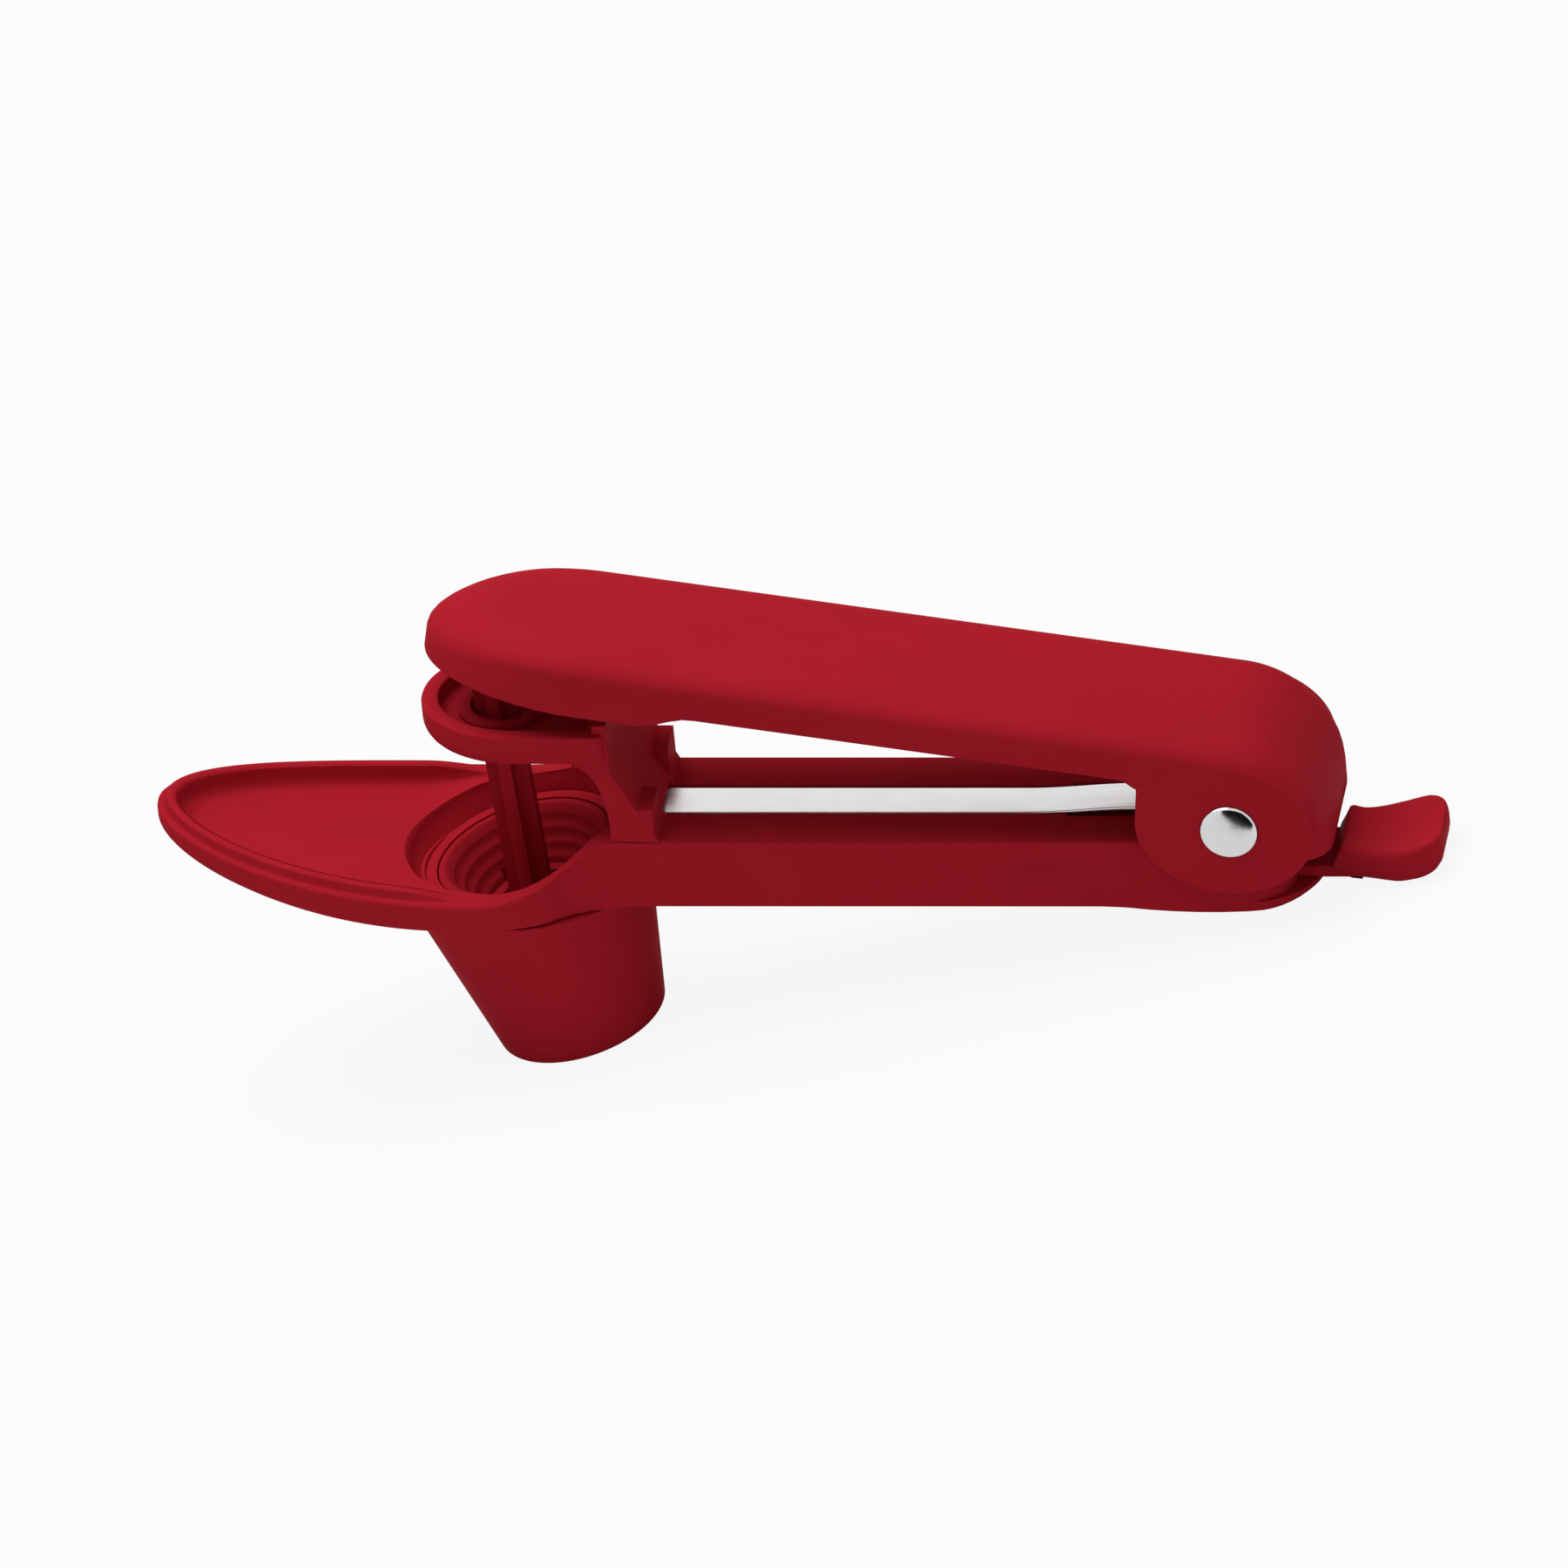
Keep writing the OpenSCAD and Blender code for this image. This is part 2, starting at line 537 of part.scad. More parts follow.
function lever_half_plan(d, soft) = concat(
    [for (t = [0 : 15 : 90]) let (r = max(1, tail_round - d))
        [lever_rear - d - r + r * cos(t), lever_half - d - r + r * sin(t)]],
    [for (t = [90 : 6 : 174])
        [nose_len - lever_front + (nose_len - d - soft) * cos(t), (lever_half - d) * sin(t)]]);
function lever_plan(d, soft) = concat(lever_half_plan(d, soft), [[d + soft - lever_front, 0]],
    mirrored(lever_half_plan(d, soft)));
module slice(d, z, soft = 0) translate([0, 0, z - 0.2]) linear_extrude(height = 0.2)
    polygon(lever_plan(d, soft));
// a solid with the lever's plan, a rounded top edge and a slight crown
module lever_form(d, top) hull() {
    slice(d, -14);
    for (t = [0 : 18 : 72]) let (in = (top_round - d) * (1 - cos(t)))
        slice(d + in, top - top_round + (top_round - 0.3) * sin(t), in * (nose_soft - 1));
    slice(top_round + 3, top, top_round * (nose_soft - 1));
}
// the top rolls over into the rear end
module roll_over(d) union() {
    translate([-200, -30, -30]) cube([200 + lever_rear - roll_r, 60, 60]);
    translate([lever_rear - roll_r, 0, lever_top - roll_r]) cross_pin(roll_r - d, 60, $fn = 128);
}
skirt_u = -84;
cheek_side = concat([[-lever_front - 1, cheek_low - skirt_drop], [skirt_u - 5, cheek_low - skirt_drop]],
    [for (t = [0 : 15 : 90]) [skirt_u - 5 + 8 * t / 90, cheek_low - skirt_drop * (1 + cos(2 * t)) / 2]],
    [[-lobe_r - 2, cheek_low], [-lobe_r + 4, cheek_low - 3], [4, 0], [4, 40], [-lever_front - 1, 40]]);

// Lever: shallow moulded shell with a skirted head, side lobes on the pin and a boss for the plunger
module lever_shell() color("red") lever_frame() difference() {
    union() {
        // flat round lobes stand out from the rounded rear corners, just short of the roll
        both() translate([0, lever_half - lever_wall / 2, 0]) intersection() {
            translate([0, 0, lobe_rise]) cross_pin(lobe_r, lever_wall, $fn = 128);
            translate([lever_rear - roll_r, 0, lever_top - roll_r])
                cross_pin(roll_r - lobe_inset, lever_wall, $fn = 128);
        }
        difference() {
            intersection() {
                lever_form(0, lever_top);
                roll_over(0);
                union() {
                    across(cheek_side);
                    translate([0, 0, lobe_rise]) cross_pin(lobe_r, 60, $fn = 128);
                    translate([0, -30, -rear_low]) cube([30, 60, 40]);
                }
            }
            intersection() {
                lever_form(lever_wall, lever_top - lever_wall);
                roll_over(lever_wall);
            }
        }
        // boss round the plunger's shank, ribs along the roof and the rib that bears on the leaf
        intersection() {
            lever_form(lever_wall / 2, lever_top - lever_wall / 2);
            union() {
                plunger_line() translate([0, 0, shank_top - boss_h]) cylinder(r = boss_r, h = 20);
                both() translate([skirt_u - 16, roof_rib_y - roof_rib_t / 2, roof_z - roof_rib_h])
                    cube([82, roof_rib_t, roof_rib_h + 1]);
                translate([nose_u - nose_t / 2, -nose_half, nose_low]) cube([nose_t, 2 * nose_half, 30]);
                translate([nose_u, 0, nose_low]) cross_pin(nose_t / 2, 2 * nose_half);
            }
        }
    }
    cross_pin(pin_r + run_fit, 60);
    plunger_line() cylinder(r = shank_r + 0.02, h = shank_top);
    plunger_line() translate([0, 0, pin_level]) cross_pin(plunger_pin_r + 0.02, 2 * boss_r + 2);
}
// the rib's foot stays a passing clearance above the leaf's tip
nose_t = 2.4;
nose_half = leaf_w / 2 + 1.4;
nose_x = leaf_end - 1.3 - pivot_x;
nose_z = leaf_low + leaf_t + leaf_rise + pass_fit - pivot_z;
nose_u = nose_x * cos(lever_rest) - nose_z * sin(lever_rest) - 0.2;
nose_low = nose_x * sin(lever_rest) + nose_z * cos(lever_rest) + nose_t / 2;
roof_z = lever_top - lever_wall;
roof_rib_y = 6;
roof_rib_t = 1.4;
roof_rib_h = 2.2;
boss_h = 6.2;

// Plunger: finned rod leaning so that it follows its arc through the cup
// the rod's line in the lever's frame, its origin where it crosses the guide
line_dx = plunger_x - pivot_x;
line_dz = plunger_level - pivot_z;
module plunger_line() translate([line_dx * cos(lever_rest) - line_dz * sin(lever_rest), 0,
    line_dx * sin(lever_rest) + line_dz * cos(lever_rest)]) rotate([0, -plunger_tilt, 0]) children();
shank_top = 19.2;
pin_level = 16;
plunger_low = -(plunger_reach + plunger_level) / cos(plunger_lean);
module plunger() color("tomato") lever_frame() difference() {
    plunger_line() union() {
        // cross-shaped rod with a pointed end on each fin
        intersection() {
            translate([0, 0, plunger_low]) linear_extrude(height = 11 - plunger_low) {
                square([fin_span, fin_t], center = true);
                square([fin_t, fin_span], center = true);
                circle(r = fin_t * 0.85);
            }
            translate([0, 0, plunger_low]) union() {
                cylinder(r1 = fin_span / 2 - 0.9, r2 = fin_span / 2, h = 3);
                translate([0, 0, 3]) cylinder(r = fin_span / 2, h = 60);
            }
        }
        translate([0, 0, 9]) cylinder(r = shank_r, h = shank_top - 9);
    }
    plunger_line() translate([0, 0, plunger_low - 0.6]) cylinder(r1 = 1.9, r2 = 0.2, h = 2.4);
    plunger_line() translate([0, 0, pin_level]) cross_pin(plunger_pin_r + 0.02, 20);
}

// Cross pin that holds the plunger in its boss
module plunger_pin() color("gray") lever_frame() plunger_line() translate([0, 0, pin_level])
    cross_pin(plunger_pin_r, 2 * boss_r);

// Pivot pin with a low domed head, seen on the lever's side
module pivot_pin() color("silver") arm_frame() translate([pivot_x, 0, pivot_z]) rotate([90, 0, 0]) union() {
    translate([0, 0, -lever_half - slip_fit]) cylinder(r = pin_r, h = lever_w + 2 * slip_fit);
    translate([0, 0, lever_half + slip_fit]) cylinder(r1 = pin_head_r, r2 = pin_head_r - 0.5, h = 0.8);
}

// Cap on the pin's far end
module pin_cap() color("silver") arm_frame() translate([pivot_x, 0, pivot_z]) rotate([-90, 0, 0])
    translate([0, 0, lever_half + slip_fit]) cylinder(r1 = pin_head_r, r2 = pin_head_r - 0.5, h = 0.8);

// Washers between the lugs and the lever
module pivot_washers() color("white") arm_frame() translate([pivot_x, 0, pivot_z])
    both() translate([0, lug_out + washer_t / 2, 0]) difference() {
        cross_pin(washer_r, washer_t);
        cross_pin(pin_r + run_fit, washer_t + 1);
    }

// Slide lock: dished thumb tab on a tongue, pushed in under the lever's rear wall to hold it down
// the tab starts a passing clearance behind the lower edge of the closed lever's rear wall
wall_u = lever_rear - roll_r + sqrt(pow(roll_r, 2) - pow(lever_top - roll_r + rear_low, 2));
lock_shoulder = pivot_x + wall_u * cos(lever_rest) - rear_low * sin(lever_rest) + pass_fit;
lock_in = lock_pin_x - lock_pin_r - pass_fit - 2;
// the neck's front rakes down to a toe behind the heel, clear of the open lever's rear wall
lock_toe = lock_shoulder - neck_rake;
neck_half = tongue_w / 2;
tab_half = tab_w / 2;
tab_plan = closed_plan([[lock_end, 0], [lock_end, tab_half - 4], [lock_end - 0.7, tab_half - 1.8],
    [lock_end - 2, tab_half - 0.5], [lock_end - 3.8, tab_half], [lock_end - 6, tab_half - 0.2],
    [lock_shoulder + 3.5, tab_neck_w / 2 + 0.3], [lock_toe, tab_neck_w / 2]]);
tab_side = [[lock_shoulder, -tab_top - 1], [lock_shoulder + 0.8, -tab_top],
    [lock_shoulder + 4, -tab_top - 0.3], [lock_end - 6.5, -tab_top + 0.2], [lock_end - 3, -tab_lip - 0.3],
    [lock_end - 1.6, -tab_lip], [lock_end - 0.5, -tab_lip - 0.6], [lock_end, -tab_lip - 2],
    [lock_end - 0.2, 2 - tail_drop], [lock_end - 1.4, -tail_drop - 1],
    [lock_toe, -tail_drop - 1], [lock_toe, -tongue_top]];
module lock_slider() color("firebrick") arm_frame() difference() {
    union() {
        translate([lock_in, -neck_half, -tongue_low])
            cube([lock_shoulder - lock_in + 1, tongue_w, tongue_t]);
        intersection() {
            translate([0, 0, -30]) linear_extrude(height = 60) polygon(tab_plan);
            across(tab_side);
        }
    }
    // dished thumb face, and a slot round the stop
    translate([lock_end - 9.4, 0, dish_r - tab_top - 1.6]) sphere(r = dish_r, $fn = 96);
    for (x = [0, lock_travel]) translate([lock_pin_x + x, 0, -20])
        cylinder(r = lock_pin_r + pass_fit, h = 30);
    translate([lock_pin_x, -lock_pin_r - pass_fit, -20])
        cube([lock_travel, 2 * (lock_pin_r + pass_fit), 30]);
    // flat on the underside where the tab meets the table
    standing() translate([0, -50, -50]) cube([300, 100, 50]);
    translate([lock_toe - 1, -50, -50 - tongue_low]) cube([1 + lock_travel, 100, 50]);
}

// Stop pin that keeps the lock in its slot
module lock_stop_pin() color("gray") arm_frame() translate([lock_pin_x, 0, pass_fit - heel_h])
    cylinder(r = lock_pin_r, h = heel_h - tongue_top - pass_fit + 0.1);

base_body();
cherry_seat();
pit_chute();
stripper_bracket();
guide_bush();
bracket_screws();
leaf_spring();
spring_screw();
pivot_pin();
pin_cap();
pivot_washers();
lever_shell();
plunger();
plunger_pin();
lock_slider();
lock_stop_pin();
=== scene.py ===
"""Dress a hand-held cherry pitter: satin red mouldings, a steel leaf, a polished pin and a plain studio.

Sizes are in millimetres. Most pieces are drawn in the arm's own frame, where the arm's top face is level
zero and X runs along the arm to the pivot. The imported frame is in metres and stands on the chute's foot.
"""

import json
import logging
import math
from dataclasses import dataclass
from enum import Enum
from typing import Callable, Sequence

import bmesh
import bpy
from mathutils import Matrix, Vector


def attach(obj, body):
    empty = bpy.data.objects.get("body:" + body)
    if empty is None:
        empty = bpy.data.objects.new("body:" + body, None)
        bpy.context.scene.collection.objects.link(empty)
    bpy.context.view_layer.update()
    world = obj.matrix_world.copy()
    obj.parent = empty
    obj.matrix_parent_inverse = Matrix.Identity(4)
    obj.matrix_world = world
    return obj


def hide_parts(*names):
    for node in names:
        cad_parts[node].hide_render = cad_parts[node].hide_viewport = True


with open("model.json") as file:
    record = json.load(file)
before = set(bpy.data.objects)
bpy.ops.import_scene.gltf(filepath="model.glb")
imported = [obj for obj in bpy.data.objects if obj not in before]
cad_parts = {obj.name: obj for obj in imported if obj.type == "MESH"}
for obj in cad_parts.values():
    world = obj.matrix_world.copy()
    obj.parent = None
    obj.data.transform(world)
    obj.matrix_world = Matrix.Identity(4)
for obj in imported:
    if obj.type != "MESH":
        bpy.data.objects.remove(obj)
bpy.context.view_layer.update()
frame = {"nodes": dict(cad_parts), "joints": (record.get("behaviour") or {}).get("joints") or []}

MM = 0.001
LOG = logging.getLogger("cherry_pitter")

Point = tuple[float, float, float]
Flat = tuple[float, float]
Place = Callable[[float, float, float], Vector]
Level = Callable[[float], float]


class Body(Enum):
    """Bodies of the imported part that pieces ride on."""

    BASE = "base"
    LEVER = "lever"
    SPRING = "spring"
    LOCK = "lock"


class Cut(Enum):
    """How one solid is joined with another."""

    TAKE_AWAY = "DIFFERENCE"
    ADD = "UNION"


# Small sums


def step(low: float, high: float, x: float) -> float:
    """Rise smoothly from 0 at low to 1 at high.

    Args:
        low: Where the rise starts.
        high: Where the rise ends.
        x: Where to read it.

    Returns:
        A share from 0 to 1.
    """
    t = min(1.0, max(0.0, (x - low) / (high - low)))
    return t * t * (3 - 2 * t)


def soft_min(a: float, b: float, width: float) -> float:
    """Take the lesser of two values, with a rounded change-over.

    Args:
        a: One value.
        b: The other value.
        width: Range of difference over which the change is rounded.

    Returns:
        The rounded minimum.
    """
    h = max(width - abs(a - b), 0.0) / width
    return min(a, b) - h * h * width / 4


def between(low: float, high: float, count: int) -> list[float]:
    """Spread count values evenly from low to high, both included."""
    return [low + (high - low) * i / (count - 1) for i in range(count)]


def along(points: Sequence[Flat], x: float) -> float:
    """Read a broken line at x.

    Args:
        points: Corners of the line, with rising x.
        x: Where to read it.

    Returns:
        The line's height there.
    """
    if x <= points[0][0]:
        return points[0][1]
    for (x0, z0), (x1, z1) in zip(points, points[1:]):
        if x <= x1:
            return z0 + (z1 - z0) * (x - x0) / (x1 - x0)
    return points[-1][1]


def arc(centre: Flat, wide: float, high: float, low: float, end: float, count: int) -> list[Flat]:
    """Spread points over an arc of an ellipse.

    Args:
        centre: Middle of the ellipse.
        wide: Its half-length along the first axis.
        high: Its half-length along the second axis.
        low: Angle of the first point, in degrees.
        end: Angle of the last point.
        count: Number of points.

    Returns:
        The points in order.
    """
    turns = [math.radians(t) for t in between(low, end, count)]
    return [(centre[0] + wide * math.cos(a), centre[1] + high * math.sin(a)) for a in turns]


# Frames


@dataclass(frozen=True)
class ArmFrame:
    """Place of the arm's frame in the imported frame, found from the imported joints."""

    pivot_x: float = 109.8
    pivot_z: float = 3.5
    lever_rest: float = 9.35

    def _joint(self, name: str) -> dict:
        """Find a packed joint by its name."""
        return next(j for j in frame["joints"] if j["name"] == name)

    @property
    def slope(self) -> tuple[float, float]:
        """Cosine and sine of the arm's fall towards the pivot."""
        axis = self._joint("lock_slide")["axis"]
        length = math.hypot(axis[0], axis[2])
        return axis[0] / length, -axis[2] / length

    def place(self, x: float, y: float, z: float) -> Vector:
        """Turn a point of the arm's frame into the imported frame.

        Args:
            x: Along the arm, in millimetres.
            y: Across the arm.
            z: Above the arm's top face.

        Returns:
            The same point in metres.
        """
        c, s = self.slope
        px, _, pz = self._joint("lever_hinge")["pos_m"]
        dx, dz = (x - self.pivot_x) * MM, (z - self.pivot_z) * MM
        return Vector((px + dx * c + dz * s, y * MM, pz - dx * s + dz * c))

    def place_lever(self, u: float, y: float, v: float) -> Vector:
        """Turn a point of the lever's frame, whose origin is the pin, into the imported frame."""
        c, s = math.cos(math.radians(self.lever_rest)), math.sin(math.radians(self.lever_rest))
        return self.place(self.pivot_x + u * c + v * s, y, self.pivot_z - u * s + v * c)

    def direction(self, x: float, y: float, z: float) -> Vector:
        """Turn a direction of the arm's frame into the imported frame."""
        return (self.place(x, y, z) - self.place(0, 0, 0)).normalized()

    def table_level(self, x: float) -> float:
        """Level of the table under a point along the arm, in the arm's frame."""
        return -self.place(x, 0, 0).z / MM / self.slope[0]


ARM = ArmFrame()


def standing(x: float, y: float, z: float) -> Vector:
    """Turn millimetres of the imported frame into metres."""
    return Vector((x, y, z)) * MM


# Meshes


def mirrored(half: Sequence[Flat]) -> list[Flat]:
    """Close half an outline over the X axis; its first and last points lie on that axis."""
    return list(half) + [(x, -y) for x, y in reversed(half[1:-1])]


def inset(outline: Sequence[Flat], distance: float | Sequence[float]) -> list[Flat]:
    """Draw a closed outline in along its normals.

    Args:
        outline: Points in counter-clockwise order.
        distance: How far to move inwards, for all points or for each one.

    Returns:
        The same number of points.
    """
    count, found = len(outline), []
    for i, (x, y) in enumerate(outline):
        d = distance if isinstance(distance, (int, float)) else distance[i]
        (x0, y0), (x1, y1) = outline[i - 1], outline[(i + 1) % count]
        tx, ty = x1 - x0, y1 - y0
        length = math.hypot(tx, ty) or 1.0
        found.append((x - ty / length * d, y + tx / length * d))
    return found


def new_object(name: str, mesh: bpy.types.Mesh) -> bpy.types.Object:
    """Make an object of a mesh and link it to the scene."""
    piece = bpy.data.objects.new(name, mesh)
    bpy.context.scene.collection.objects.link(piece)
    return piece


def skin(name: str, rings: Sequence[Sequence[Vector]], caps: bool = False) -> bpy.types.Object:
    """Join closed rings of points into one surface.

    Args:
        name: Name of the new object.
        rings: Rings with the same number of points, in metres.
        caps: Whether the first and last ring are closed by a face.

    Returns:
        The new object.
    """
    count = len(rings[0])
    points = [p for ring in rings for p in ring]
    faces = [
        (r * count + i, r * count + (i + 1) % count, (r + 1) * count + (i + 1) % count, (r + 1) * count + i)
        for r in range(len(rings) - 1)
        for i in range(count)
    ]
    if caps:
        faces += [tuple(reversed(range(count))), tuple(range((len(rings) - 1) * count, len(rings) * count))]
    mesh = bpy.data.meshes.new(name)
    mesh.from_pydata(points, [], faces)
    bm = bmesh.new()
    bm.from_mesh(mesh)
    bmesh.ops.remove_doubles(bm, verts=bm.verts, dist=2e-6)
    bmesh.ops.dissolve_degenerate(bm, edges=bm.edges, dist=1e-6)
    bmesh.ops.recalc_face_normals(bm, faces=bm.faces)
    bm.to_mesh(mesh)
    bm.free()
    return new_object(name, mesh)


def lathe(name: str, profile: Sequence[Flat], place: Place, segments: int = 96) -> bpy.types.Object:
    """Turn a closed profile round the Z axis of a frame.

    Args:
        name: Name of the new object.
        profile: Radius and height of each corner; a closed loop, or a line that starts and ends on the axis.
        place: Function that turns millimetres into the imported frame.
        segments: Steps in a full turn.

    Returns:
        The new object.
    """
    on_axis = profile[0][0] == 0 and profile[-1][0] == 0
    loop = list(profile) if on_axis else list(profile) + [profile[0]]
    turns = [2 * math.pi * i / segments for i in range(segments)]
    return skin(name, [[place(r * math.cos(t), r * math.sin(t), z) for t in turns] for r, z in loop])


def block(name: str, low: Point, high: Point, place: Place) -> bpy.types.Object:
    """Make a box between two corners of a frame.

    Args:
        name: Name of the new object.
        low: Lowest corner.
        high: Highest corner.
        place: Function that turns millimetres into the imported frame.

    Returns:
        The new object.
    """
    plan = [(low[0], low[1]), (high[0], low[1]), (high[0], high[1]), (low[0], high[1])]
    return skin(name, [[place(x, y, z) for x, y in plan] for z in (low[2], high[2])], caps=True)


def combine(piece: bpy.types.Object, tool: bpy.types.Object, how: Cut) -> None:
    """Cut a solid with another one, or join it on, and delete the other.

    Args:
        piece: Solid that is changed.
        tool: Solid that is used up.
        how: Whether the tool is taken away or added.
    """
    change = piece.modifiers.new("combine", "BOOLEAN")
    change.operation, change.solver, change.object = how.value, "EXACT", tool
    bpy.context.view_layer.update()
    result = bpy.data.meshes.new_from_object(piece.evaluated_get(bpy.context.evaluated_depsgraph_get()))
    piece.modifiers.clear()
    piece.data = result
    bpy.data.objects.remove(tool)


def soften_edges(piece: bpy.types.Object, radius: float, angle: float = 40) -> None:
    """Round a solid's sharp edges.

    Args:
        piece: Solid that is changed.
        radius: Radius of the rounding, in millimetres.
        angle: Edges sharper than this are rounded, in degrees.
    """
    bm = bmesh.new()
    bm.from_mesh(piece.data)
    bmesh.ops.remove_doubles(bm, verts=bm.verts, dist=5e-6)
    bmesh.ops.dissolve_limit(bm, angle_limit=math.radians(1.5), verts=bm.verts, edges=bm.edges)
    bm.to_mesh(piece.data)
    bm.free()
    change = piece.modifiers.new("soften", "BEVEL")
    change.width, change.segments, change.limit_method = radius * MM, 3, "ANGLE"
    change.angle_limit, change.use_clamp_overlap = math.radians(angle), True
    change.miter_outer = "MITER_ARC"
    bpy.context.view_layer.update()
    result = bpy.data.meshes.new_from_object(piece.evaluated_get(bpy.context.evaluated_depsgraph_get()))
    piece.modifiers.clear()
    piece.data = result


def shade(piece: bpy.types.Object, angle: float = 35) -> None:
    """Shade a piece smooth, apart from its sharp edges.

    Args:
        piece: Piece that is shaded.
        angle: Edges sharper than this stay sharp, in degrees.
    """
    for face in piece.data.polygons:
        face.use_smooth = True
    piece.data.set_sharp_from_angle(angle=math.radians(angle))
    change = piece.modifiers.new("even_normals", "WEIGHTED_NORMAL")
    change.keep_sharp, change.weight = True, 60


def copy_of(node: str, name: str) -> bpy.types.Object:
    """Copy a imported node's mesh into a new object, for rounding."""
    return new_object(name, frame["nodes"][node].data.copy())


# Finishes


class Sheet:
    """The node tree of a material or a world, with short ways to add and link nodes."""

    def __init__(self, owner: bpy.types.Material | bpy.types.World) -> None:
        """Empty the owner's tree."""
        self.owner = owner
        owner.use_nodes = True
        self.tree = owner.node_tree
        self.tree.nodes.clear()

    def add(self, kind: str, **values: object) -> bpy.types.Node:
        """Add a node and set its inputs or options.

        Args:
            kind: Blender's name of the node's type.
            values: Inputs, with underscores for spaces, or the node's own options.

        Returns:
            The new node.
        """
        node = self.tree.nodes.new(kind)
        for key, value in values.items():
            socket = node.inputs.get(key.replace("_", " "))
            if socket is not None:
                socket.default_value = value
            else:
                setattr(node, key, value)
        return node

    def link(self, start: bpy.types.NodeSocket, end: bpy.types.NodeSocket) -> None:
        """Join two sockets."""
        self.tree.links.new(start, end)

    def grain(self, stretch: Point, scale: float, detail: float) -> bpy.types.NodeSocket:
        """Add noise in the piece's own space.

        Args:
            stretch: How much the pattern is squeezed along each axis.
            scale: Features in a metre.
            detail: Octaves of finer noise.

        Returns:
            The noise's value socket.
        """
        place = self.add("ShaderNodeTexCoord")
        turn = self.add("ShaderNodeMapping", Scale=stretch)
        noise = self.add("ShaderNodeTexNoise", Scale=scale, Detail=detail, Roughness=0.55)
        self.link(place.outputs["Object"], turn.inputs["Vector"])
        self.link(turn.outputs["Vector"], noise.inputs["Vector"])
        return noise.outputs["Fac"]

    def spread(self, value: bpy.types.NodeSocket, low: float, high: float) -> bpy.types.NodeSocket:
        """Map the middle of a noise to a range.

        Args:
            value: The noise.
            low: Start of the range.
            high: End of the range.

        Returns:
            The mapped value's socket.
        """
        node = self.add("ShaderNodeMapRange", From_Min=0.3, From_Max=0.7, To_Min=low, To_Max=high)
        self.link(value, node.inputs["Value"])
        return node.outputs["Result"]

    def tint(self, value: bpy.types.NodeSocket, dark: Point, light: Point) -> bpy.types.NodeSocket:
        """Turn a noise into a colour.

        Args:
            value: The noise.
            dark: Colour of its low values.
            light: Colour of its high values.

        Returns:
            The colour's socket.
        """
        node = self.add("ShaderNodeValToRGB")
        node.color_ramp.elements[0].position, node.color_ramp.elements[1].position = 0.3, 0.7
        node.color_ramp.elements[0].color = (*dark, 1)
        node.color_ramp.elements[1].color = (*light, 1)
        self.link(value, node.inputs["Fac"])
        return node.outputs["Color"]

    def relief(self, value: bpy.types.NodeSocket, strength: float, depth: float) -> bpy.types.NodeSocket:
        """Turn a noise into a fine relief.

        Args:
            value: The noise.
            strength: Share of the relief that shows.
            depth: Height of the relief, in millimetres.

        Returns:
            The normal's socket.
        """
        node = self.add("ShaderNodeBump", Strength=strength, Distance=depth * MM)
        self.link(value, node.inputs["Height"])
        return node.outputs["Normal"]

    def surface(self, shader: bpy.types.Node) -> bpy.types.Material:
        """Link a shader to the output and return the material."""
        out = self.add("ShaderNodeOutputMaterial")
        self.link(shader.outputs[0], out.inputs["Surface"])
        return self.owner


def scaled(colour: Point, share: float) -> Point:
    """Make a colour darker or lighter by a share."""
    return tuple(min(1.0, c * share) for c in colour)


@dataclass(frozen=True)
class SatinMoulding:
    """Moulded plastic with a fine satin skin and a faint flow shade."""

    name: str
    colour: Point
    roughness: float = 0.6
    specular: float = 0.01
    flow: float = 0.04
    skin_depth: float = 0.015

    def material(self) -> bpy.types.Material:
        """Build the finish.

        Returns:
            The new material.
        """
        sheet = Sheet(bpy.data.materials.new(self.name))
        cloud = sheet.grain((1, 1.6, 1.6), 45, 3)
        skin_noise = sheet.grain((1, 1, 1), 2600, 2)
        shader = sheet.add("ShaderNodeBsdfPrincipled", IOR=1.47, Specular_IOR_Level=self.specular)
        sheet.link(
            sheet.tint(cloud, scaled(self.colour, 1 - self.flow), scaled(self.colour, 1 + self.flow)),
            shader.inputs["Base Color"],
        )
        rough = sheet.spread(cloud, self.roughness - 0.04, self.roughness + 0.05)
        sheet.link(rough, shader.inputs["Roughness"])
        sheet.link(sheet.relief(skin_noise, 0.12, self.skin_depth), shader.inputs["Normal"])
        return sheet.surface(shader)


@dataclass(frozen=True)
class WorkedSteel:
    """Steel with rolled, turned or brushed lines along one direction."""

    name: str
    colour: Point
    roughness: float
    stretch: Point
    lines: float = 900
    line_depth: float = 0.004

    def material(self) -> bpy.types.Material:
        """Build the finish.

        Returns:
            The new material.
        """
        sheet = Sheet(bpy.data.materials.new(self.name))
        lines = sheet.grain(self.stretch, self.lines, 3)
        cloud = sheet.grain((1, 1, 1), 70, 2)
        shader = sheet.add("ShaderNodeBsdfPrincipled", Metallic=1.0)
        sheet.link(sheet.tint(cloud, scaled(self.colour, 0.95), self.colour), shader.inputs["Base Color"])
        rough = sheet.spread(lines, self.roughness * 0.88, self.roughness * 1.12)
        sheet.link(rough, shader.inputs["Roughness"])
        sheet.link(sheet.relief(lines, 0.15, self.line_depth), shader.inputs["Normal"])
        return sheet.surface(shader)


def dress(piece: bpy.types.Object, finish: bpy.types.Material) -> None:
    """Give every slot of a piece one finish."""
    if not piece.material_slots:
        piece.data.materials.append(finish)
    for slot in piece.material_slots:
        slot.material = finish


